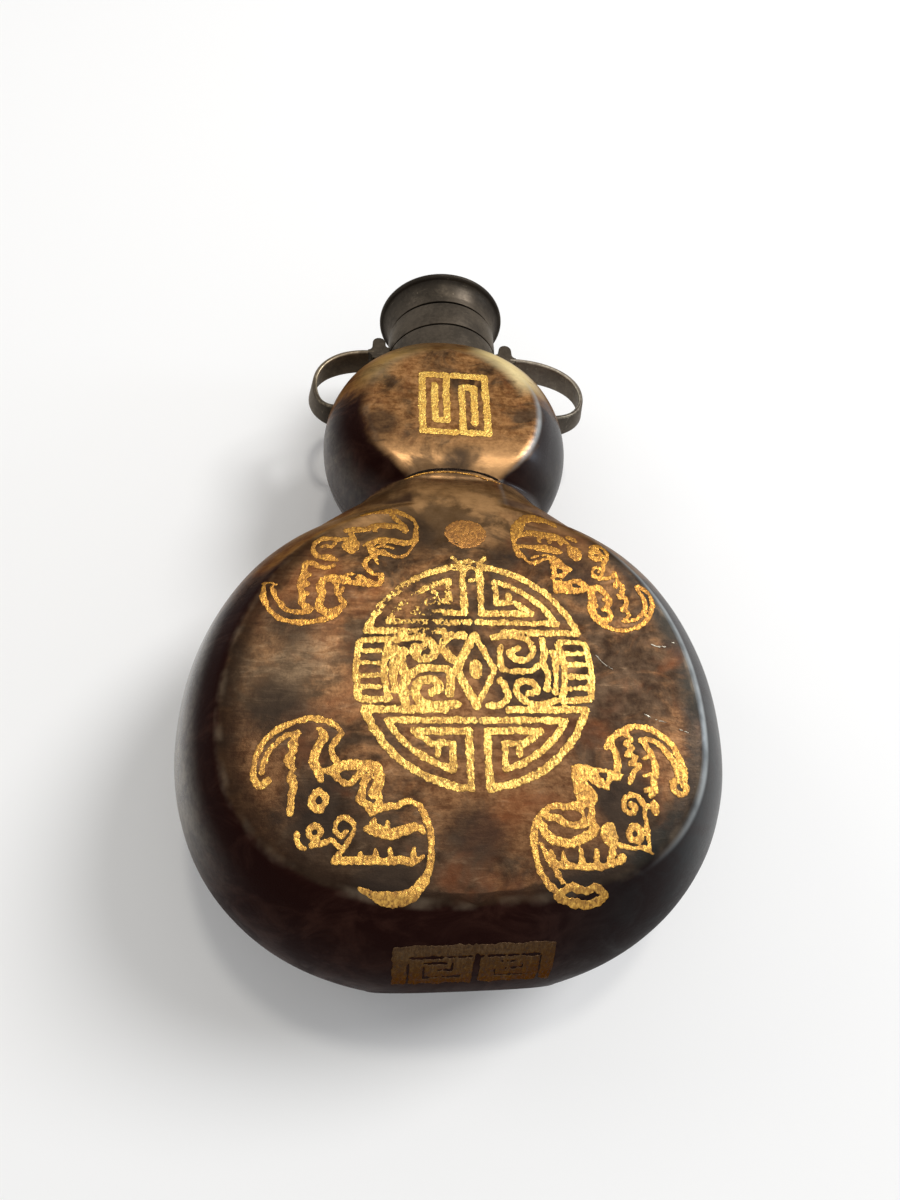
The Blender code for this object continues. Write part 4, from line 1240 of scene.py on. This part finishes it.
NECK_RADIUS = 0.0186
BORE_RADIUS = 0.0156
COLLAR_SUNK = 0.0098
BAND_START = 0.191465
MOUTH_START = 0.201765
GROOVE_HALF = 0.00032
MOUTH_GROOVE_DROP = 0.0009
GROOVE_DEPTH = 0.0011
RING_EDGE = 0.00020
MOUTH_WAIST_RADIUS = 0.0182
MOUTH_STRAIGHT = 0.0018
RIM_RADIUS = 0.0218
RIM_BORE_RADIUS = 0.0196
RIM_THICKNESS = 0.0018
RING_SEGMENTS = 128
RING_WANDER = 0.00003
LIP_WANDER = 0.00006
LIP_SEGMENTS = 18
BAND_SWELL = 0.00008
SHARP_TURN = math.radians(38)
RING_WEAR_REACH = 0.0005
NECK_RUB = (1.30, 1.60)
SHADE_TONE = (0.008, 0.006, 0.005)
JOINT_TONE = (0.004, 0.003, 0.002)
NECK_TONES = ((0.028, 0.022, 0.016), (0.070, 0.055, 0.040), (0.22, 0.18, 0.13))


def arc(centre, radius, start, end, steps):
    """Points on an arc, the angles in degrees."""
    turns = [math.radians(start + (end - start) * index / steps) for index in range(steps + 1)]
    return [(centre[0] + radius * math.cos(t), centre[1] + radius * math.sin(t)) for t in turns]


def smooth_mesh(name, build):
    """A mesh of the finished build, smooth but for its sharp turns."""
    bmesh.ops.recalc_face_normals(build, faces=build.faces)
    mesh = bpy.data.meshes.new(name)
    build.to_mesh(mesh)
    build.free()
    mesh.shade_smooth()
    mesh.set_sharp_from_angle(angle=SHARP_TURN)
    return mesh


def skin_rows(build, rows, left_out=()):
    """Faces between each row of points and the next, each row a closed loop."""
    for first, second in zip(rows, rows[1:]):
        for index in range(len(first)):
            if index not in left_out:
                after = (index + 1) % len(first)
                build.faces.new((first[index], first[after], second[after], second[index]))


def mark_edges(mesh, reach):
    """Keeps on each point how sharply the surface turns outward there, for wear."""
    build = bmesh.new()
    build.from_mesh(mesh)
    build.normal_update()
    layer = build.verts.layers.float.new("edge_wear")
    for vertex in build.verts:
        turns = [
            (vertex.co - edge.other_vert(vertex).co).dot(vertex.normal) / edge.calc_length() ** 2
            for edge in vertex.link_edges
            if edge.calc_length() > 1e-7
        ]
        vertex[layer] = min(1.0, max(0.0, max(turns, default=0.0) * 2 * reach))
    build.to_mesh(mesh)
    build.free()


def turned_ring(name, profile, squash=1.0, wander=RING_WANDER, sunk_radius=None):
    """A closed profile of (radius, station) turned about the axis, a little out of true."""
    build = bmesh.new()
    sunk = build.verts.layers.float.new("sunk")
    rows = []
    for index in range(RING_SEGMENTS):
        turn = math.tau * index / RING_SEGMENTS
        row = []
        for radius, station in profile:
            spot = Vector((math.cos(turn) * 1.6, station * 260, math.sin(turn) * 1.6))
            out = radius + wander * noise.noise(spot) if radius > 0 else 0.0
            deep = HALF_DEPTH + out * math.sin(turn) * squash
            row.append(build.verts.new((out * math.cos(turn), to_y(station), deep)))
            row[-1][sunk] = float(radius == sunk_radius)
        rows.append(row)
    radii = [radius for radius, station in profile]
    after = radii[1:] + radii[:1]
    on_axis = [index for index in range(len(radii)) if radii[index] == after[index] == 0]
    skin_rows(build, rows + rows[:1], on_axis)
    bmesh.ops.remove_doubles(build, verts=build.verts, dist=0.000002)
    mesh = smooth_mesh(name, build)
    mark_edges(mesh, RING_WEAR_REACH)
    return add_piece(name, mesh)


def dark_bronze(name, base, high, worn, rub_low, rub_high, shaded_level, clear):
    """Dark olive bronze, brighter on its edges, with painted shade towards one level along Y."""
    finish = Finish(name)
    place = finish.place()
    edge = finish.mark("edge_wear")
    cloud = finish.cloud(place, 0.011, 4.0, 0.55, 0.5)
    fine = finish.cloud(place, 0.0013, 5.0, 0.7)
    scratch = finish.cloud(finish.stretched(place, (1.0, 14.0, 1.0)), 0.004, 3.0, 0.6)
    colour = finish.blend(finish.window(cloud * 0.6 + fine * 0.4, 0.36, 0.64), base, high)
    # Painted shade darkens it towards the shaded level.
    start, end = (1.0, 0.0) if shaded_level < clear else (0.0, 1.0)
    levels = sorted((shaded_level, clear))
    painted_shade = finish.window(finish.level(place, 1), *levels, start, end)
    colour = finish.blend(painted_shade * 0.75, colour, SHADE_TONE)
    colour = finish.blend(finish.window(scratch, 0.62, 0.75) * 0.35, colour, worn)
    speck = finish.window(finish.cloud(place, 0.0016, 2.0, 0.5), 0.74, 0.80)
    rub = finish.window(edge * 0.75 + fine * 0.4 + cloud * 0.25, rub_low, rub_high)
    rub = rub.at_least(speck * 0.5)
    colour = finish.blend(rub, colour, worn)
    colour = finish.blend(finish.mark("sunk"), colour, JOINT_TONE)
    return finish.skin(
        Base_Color=colour,
        Metallic=0.55 + rub * 0.4,
        Specular_Tint=(0.50, 0.44, 0.36, 1.0),
        Roughness=finish.window(fine * 0.6 + cloud * 0.4, 0.3, 0.7, 0.46, 0.34) - rub * 0.08,
        Normal=finish.bump(fine, 0.00005, 0.5, finish.bump(scratch, 0.00004, 0.4)),
    )


groove_floor = NECK_RADIUS - GROOVE_DEPTH
collar = turned_ring(
    "neck_collar_ring",
    [(groove_floor, BAND_START - GROOVE_HALF)]
    + arc((NECK_RADIUS - RING_EDGE, BAND_START - GROOVE_HALF - RING_EDGE), RING_EDGE, 90, 0, 4)
    + [(NECK_RADIUS, SHOULDER), (NECK_RADIUS, SHOULDER - COLLAR_SUNK)]
    + [(BORE_RADIUS, SHOULDER - COLLAR_SUNK), (BORE_RADIUS, BAND_START - GROOVE_HALF)],
    sunk_radius=groove_floor,
)
band_low, band_high = BAND_START + GROOVE_HALF, MOUTH_START - MOUTH_GROOVE_DROP
band = turned_ring(
    "neck_band_ring",
    [(groove_floor, band_high)]
    + arc((NECK_RADIUS - RING_EDGE, band_high - RING_EDGE), RING_EDGE, 90, 0, 4)
    + [(NECK_RADIUS + BAND_SWELL, (band_low + band_high) / 2)]
    + arc((NECK_RADIUS - RING_EDGE, band_low + RING_EDGE), RING_EDGE, 0, -90, 4)
    + [(groove_floor, band_low), (groove_floor, BAND_START - GROOVE_HALF)]
    + [(BORE_RADIUS, BAND_START - GROOVE_HALF), (BORE_RADIUS, band_high)],
    sunk_radius=groove_floor,
)
mouth_low = MOUTH_START + GROOVE_HALF
lip = RIM_THICKNESS / 2
rim = (RIM_RADIUS - lip, LENGTH - lip)
flare_height = LENGTH - RIM_THICKNESS - mouth_low - MOUTH_STRAIGHT
outer_flare, inner_flare = [], []
for index in range(1, LIP_SEGMENTS + 1):
    share = index / LIP_SEGMENTS
    outer = rim[0] - (rim[0] - MOUTH_WAIST_RADIUS) * share
    outer_flare.append((outer, LENGTH - RIM_THICKNESS - flare_height * share**2))
    bore = RIM_BORE_RADIUS - (RIM_BORE_RADIUS - BORE_RADIUS) * share
    inner_flare.append((bore, LENGTH - (LENGTH - mouth_low) * share**2))
mouth = turned_ring(
    "mouth_flare",
    arc(rim, lip, 90, -60, 12)
    + outer_flare
    + arc((MOUTH_WAIST_RADIUS - RING_EDGE, mouth_low + RING_EDGE), RING_EDGE, 0, -90, 4)
    + [(groove_floor, mouth_low), (groove_floor, band_high), (BORE_RADIUS, band_high)]
    + inner_flare[::-1]
    + [(RIM_BORE_RADIUS, LENGTH)],
    wander=LIP_WANDER,
    sunk_radius=groove_floor,
)
# The mouth is painted darker towards its rim, as shade.
shade_levels = (to_y(LENGTH), to_y(MOUTH_START))
for piece, node in ((collar, "neck_collar"), (band, "neck_band"), (mouth, "mouth_lip")):
    piece.data.materials.append(
        dark_bronze(piece.name + "_bronze", *NECK_TONES, *NECK_RUB, *shade_levels)
    )
    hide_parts(node)
    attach(piece, "root")

# ---------------------------------------------------------------- the lugs and handles
# Each handle is a flat ribbon of bronze bent over from a lobed lug beside the neck, out and
# down to the bulb's side, and brazed at both ends. The lug's top is a small rounded ear.

STRAP_WIDTH = 0.0100
STRAP_THICKNESS = 0.0016
STRAP_EDGE = 0.00072
STRAP_SUNK = 0.0006
STRAP_ROUNDNESS = 2.2
STRAP_WEAR_REACH = 0.0006
STRAP_DENTS = 0.05
STRAP_WAVER = 0.015
LEFT_REACH = 0.0444
RIGHT_REACH = 0.0489
STRAP_TOP = 0.191865
STRAP_BEND = 0.176765
STRAP_FOOT = 0.166965
LUG_OUTER = 0.0242
LUG_RISE = 0.0100
LUG_FOOT_RISE = 0.0009
LUG_NOTCH_RISE = 0.0057
LUG_LOBE_RADIUS = 0.0022
LUG_LOBE_INSET = 0.0001
LUG_SHOULDER_RISE = 0.0016
LUG_EASE = 0.0009
LUG_EASED_TURN = math.radians(40)
LUG_SUNK = 0.0004
LUG_INSET = 0.0001
BEND_STEPS = 30
BEND_LEAN = 0.24


def strap_centre_line(reach):
    """Points of (x, station) from the lug, round the bend and back in to the bulb."""
    half = STRAP_THICKNESS / 2
    reach, level, start = reach - half, STRAP_TOP - half, LUG_OUTER - STRAP_SUNK
    foot_x = float(outline_half_width(STRAP_FOOT - half)) - STRAP_SUNK
    bend = 2 / STRAP_ROUNDNESS
    points = []
    for index in range(BEND_STEPS + 1):
        turn = math.pi / 2 * (1 - index / BEND_STEPS)
        across = start + (reach - start) * math.cos(turn) ** bend
        points.append((across, STRAP_BEND + (level - STRAP_BEND) * math.sin(turn) ** bend))
    for index in range(1, BEND_STEPS + 1):
        turn = math.pi / 2 * index / BEND_STEPS
        across = foot_x + (reach - foot_x) * math.cos(turn)
        points.append((across, STRAP_BEND - (STRAP_BEND - STRAP_FOOT) * math.sin(turn)))
    return points


def strap_section(half_thick, half_wide, edge):
    """A flat bar's rounded outline, as (through its thickness, across its width)."""
    points = []
    for x, z, start in ((1, 1, 0), (-1, 1, 90), (-1, -1, 180), (1, -1, 270)):
        centre = (x * (half_thick - edge), z * (half_wide - edge))
        points += arc(centre, edge, start, start + 90, 4)
    return points


def swept_strap(name, side, reach):
    """The ribbon: its section carried along the centre line, a little dented and leaning."""
    spots = [Vector((side * x, to_y(s), HALF_DEPTH)) for x, s in strap_centre_line(reach)]
    build = bmesh.new()
    rows = []
    run = 0.0
    for index, spot in enumerate(spots):
        before, after = spots[max(0, index - 1)], spots[min(len(spots) - 1, index + 1)]
        run += (spot - before).length
        ahead = (after - before).normalized()
        if index in (0, len(spots) - 1):
            ahead = Vector((math.copysign(1.0, ahead.x), 0, 0))
        out = Vector((-ahead.y, ahead.x, 0)) * (1 if side > 0 else -1)
        dent = noise.noise(Vector((side * 7.3, run * 130, 1.7)))
        waver = noise.noise(Vector((run * 90, side, 4.4)))
        thick = STRAP_THICKNESS / 2 * (1 + STRAP_DENTS * dent)
        wide = STRAP_WIDTH / 2 * (1 + STRAP_WAVER * waver - 0.01)
        lean = BEND_LEAN * math.sin(math.pi * min(1.0, index / (1.6 * BEND_STEPS)))
        rows.append(
            [
                build.verts.new(spot + out * through + Vector((-side * lean * across, 0, across)))
                for through, across in strap_section(thick, wide, STRAP_EDGE)
            ]
        )
    skin_rows(build, rows)
    build.faces.new(rows[0])
    build.faces.new(rows[-1][::-1])
    mesh = smooth_mesh(name, build)
    mark_edges(mesh, STRAP_WEAR_REACH)
    return add_piece(name, mesh)


def lug_outline():
    """Points of (x, station) round the lug: foot, hollow, lobe and the strap's start."""
    near = NECK_RADIUS - LUG_SUNK
    lobe_x = LUG_OUTER - LUG_LOBE_INSET - LUG_LOBE_RADIUS
    crown = arc((lobe_x, SHOULDER + LUG_RISE - LUG_LOBE_RADIUS), LUG_LOBE_RADIUS, 180, 0, 16)
    hollow_radius = lobe_x - LUG_LOBE_RADIUS - near
    hollow = arc((near, SHOULDER + LUG_NOTCH_RISE + hollow_radius), hollow_radius, -90, 0, 12)
    out, rise = LUG_OUTER + LUG_SHOULDER_RISE, LUG_SHOULDER_RISE
    sweep = arc((out, STRAP_TOP + rise), rise, 180, 265, 8)
    web = arc((out, STRAP_TOP - STRAP_THICKNESS - rise), rise, 95, 180, 6)
    foot = SHOULDER + LUG_FOOT_RISE
    return [(near, foot)] + hollow + crown + sweep + web + [(LUG_OUTER, foot)]


def lug(name, side):
    """The lug's outline as a plate as wide as the strap, its edges eased."""
    outline = lug_outline()
    build = bmesh.new()
    face = build.faces.new([build.verts.new((side * x, to_y(s), HALF_DEPTH)) for x, s in outline])
    made = bmesh.ops.extrude_face_region(build, geom=[face])
    top = [item for item in made["geom"] if isinstance(item, bmesh.types.BMVert)]
    half = STRAP_WIDTH / 2 - LUG_INSET
    for vertex in build.verts:
        vertex.co.z = HALF_DEPTH + (half if vertex in top else -half)
    bmesh.ops.recalc_face_normals(build, faces=build.faces)
    mesh = bpy.data.meshes.new(name)
    build.to_mesh(mesh)
    build.free()
    piece = add_piece(name, mesh)
    bevel = piece.modifiers.new("eased", "BEVEL")
    bevel.width = LUG_EASE
    bevel.segments = 4
    bevel.limit_method = "ANGLE"
    bevel.angle_limit = LUG_EASED_TURN
    bpy.context.view_layer.update()
    bevelled = piece.evaluated_get(bpy.context.evaluated_depsgraph_get())
    finished = bpy.data.meshes.new_from_object(bevelled)
    piece.modifiers.clear()
    piece.data = finished
    finished.shade_smooth()
    finished.set_sharp_from_angle(angle=SHARP_TURN)
    return piece


STRAP_RUB = (0.85, 1.25)
# Each ribbon and lug is painted darker towards the ribbon's foot, as shade, up to these levels.
LEFT_SHADE_END = STRAP_BEND + 0.004
RIGHT_SHADE_END = STRAP_BEND + 0.016
# The right ribbon is painted lighter than the left, lit and shaded copies of one bronze.
LEFT_SHADED_TONES = ((0.085, 0.065, 0.043), (0.160, 0.124, 0.085), (0.40, 0.33, 0.23))
RIGHT_LIT_TONES = ((0.150, 0.125, 0.100), (0.250, 0.210, 0.165), (0.48, 0.43, 0.34))
# The lugs are painted darker, as shade.
LUG_SHADE_TONES = ((0.030, 0.023, 0.016), (0.075, 0.058, 0.041), (0.20, 0.16, 0.12))
for label, side, reach, tones, shade_end in (
    ("left", -1, LEFT_REACH, LEFT_SHADED_TONES, LEFT_SHADE_END),
    ("right", 1, RIGHT_REACH, RIGHT_LIT_TONES, RIGHT_SHADE_END),
):
    for piece, node in (
        (lug(label + "_ear", side), label + "_lug"),
        (swept_strap(label + "_ribbon", side, reach), label + "_handle"),
    ):
        shades = tones if node.endswith("handle") else LUG_SHADE_TONES
        shade_levels = (to_y(STRAP_FOOT), to_y(shade_end))
        piece.data.materials.append(
            dark_bronze(piece.name + "_bronze", *shades, *STRAP_RUB, *shade_levels)
        )
        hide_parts(node)
        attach(piece, "root")

# ---------------------------------------------------------------- the foot plate
# An oval plate of dull bronze, let into the foot's ring and brazed from inside once the
# casting core was out. It lies a little below the ring that the flask stands on.

PLATE_RECESS = 0.0004
PLATE_GAP = 0.00008
PLATE_THICKNESS = 0.0030
PLATE_EASE = 0.0004
PLATE_TONES = ((0.022, 0.018, 0.014), (0.055, 0.044, 0.032), (0.16, 0.13, 0.09))
PLATE_RUB = (0.55, 0.95)
PLATE_SHADE_LEVELS = (-0.02, -0.01)
plate_edge = FOOT_HOLE[0] - PLATE_GAP
plate_top = PLATE_RECESS + PLATE_THICKNESS
plate_profile = [(0.0, plate_top), (plate_edge, plate_top)]
plate_profile += arc((plate_edge - PLATE_EASE, PLATE_RECESS + PLATE_EASE), PLATE_EASE, 0, -90, 4)
plate_profile += [(plate_edge * share, PLATE_RECESS) for share in (0.8, 0.6, 0.4, 0.2)]
plate_profile.append((0.0, PLATE_RECESS))
plate = turned_ring("foot_inset", plate_profile, FOOT_HOLE[1] / FOOT_HOLE[0], 0.0)
# The plate is painted darker all over, as shade.
shade_levels = [to_y(station) for station in PLATE_SHADE_LEVELS]
plate.data.materials.append(
    dark_bronze("foot_inset_bronze", *PLATE_TONES, *PLATE_RUB, *shade_levels)
)
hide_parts("foot_plate")
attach(plate, "root")
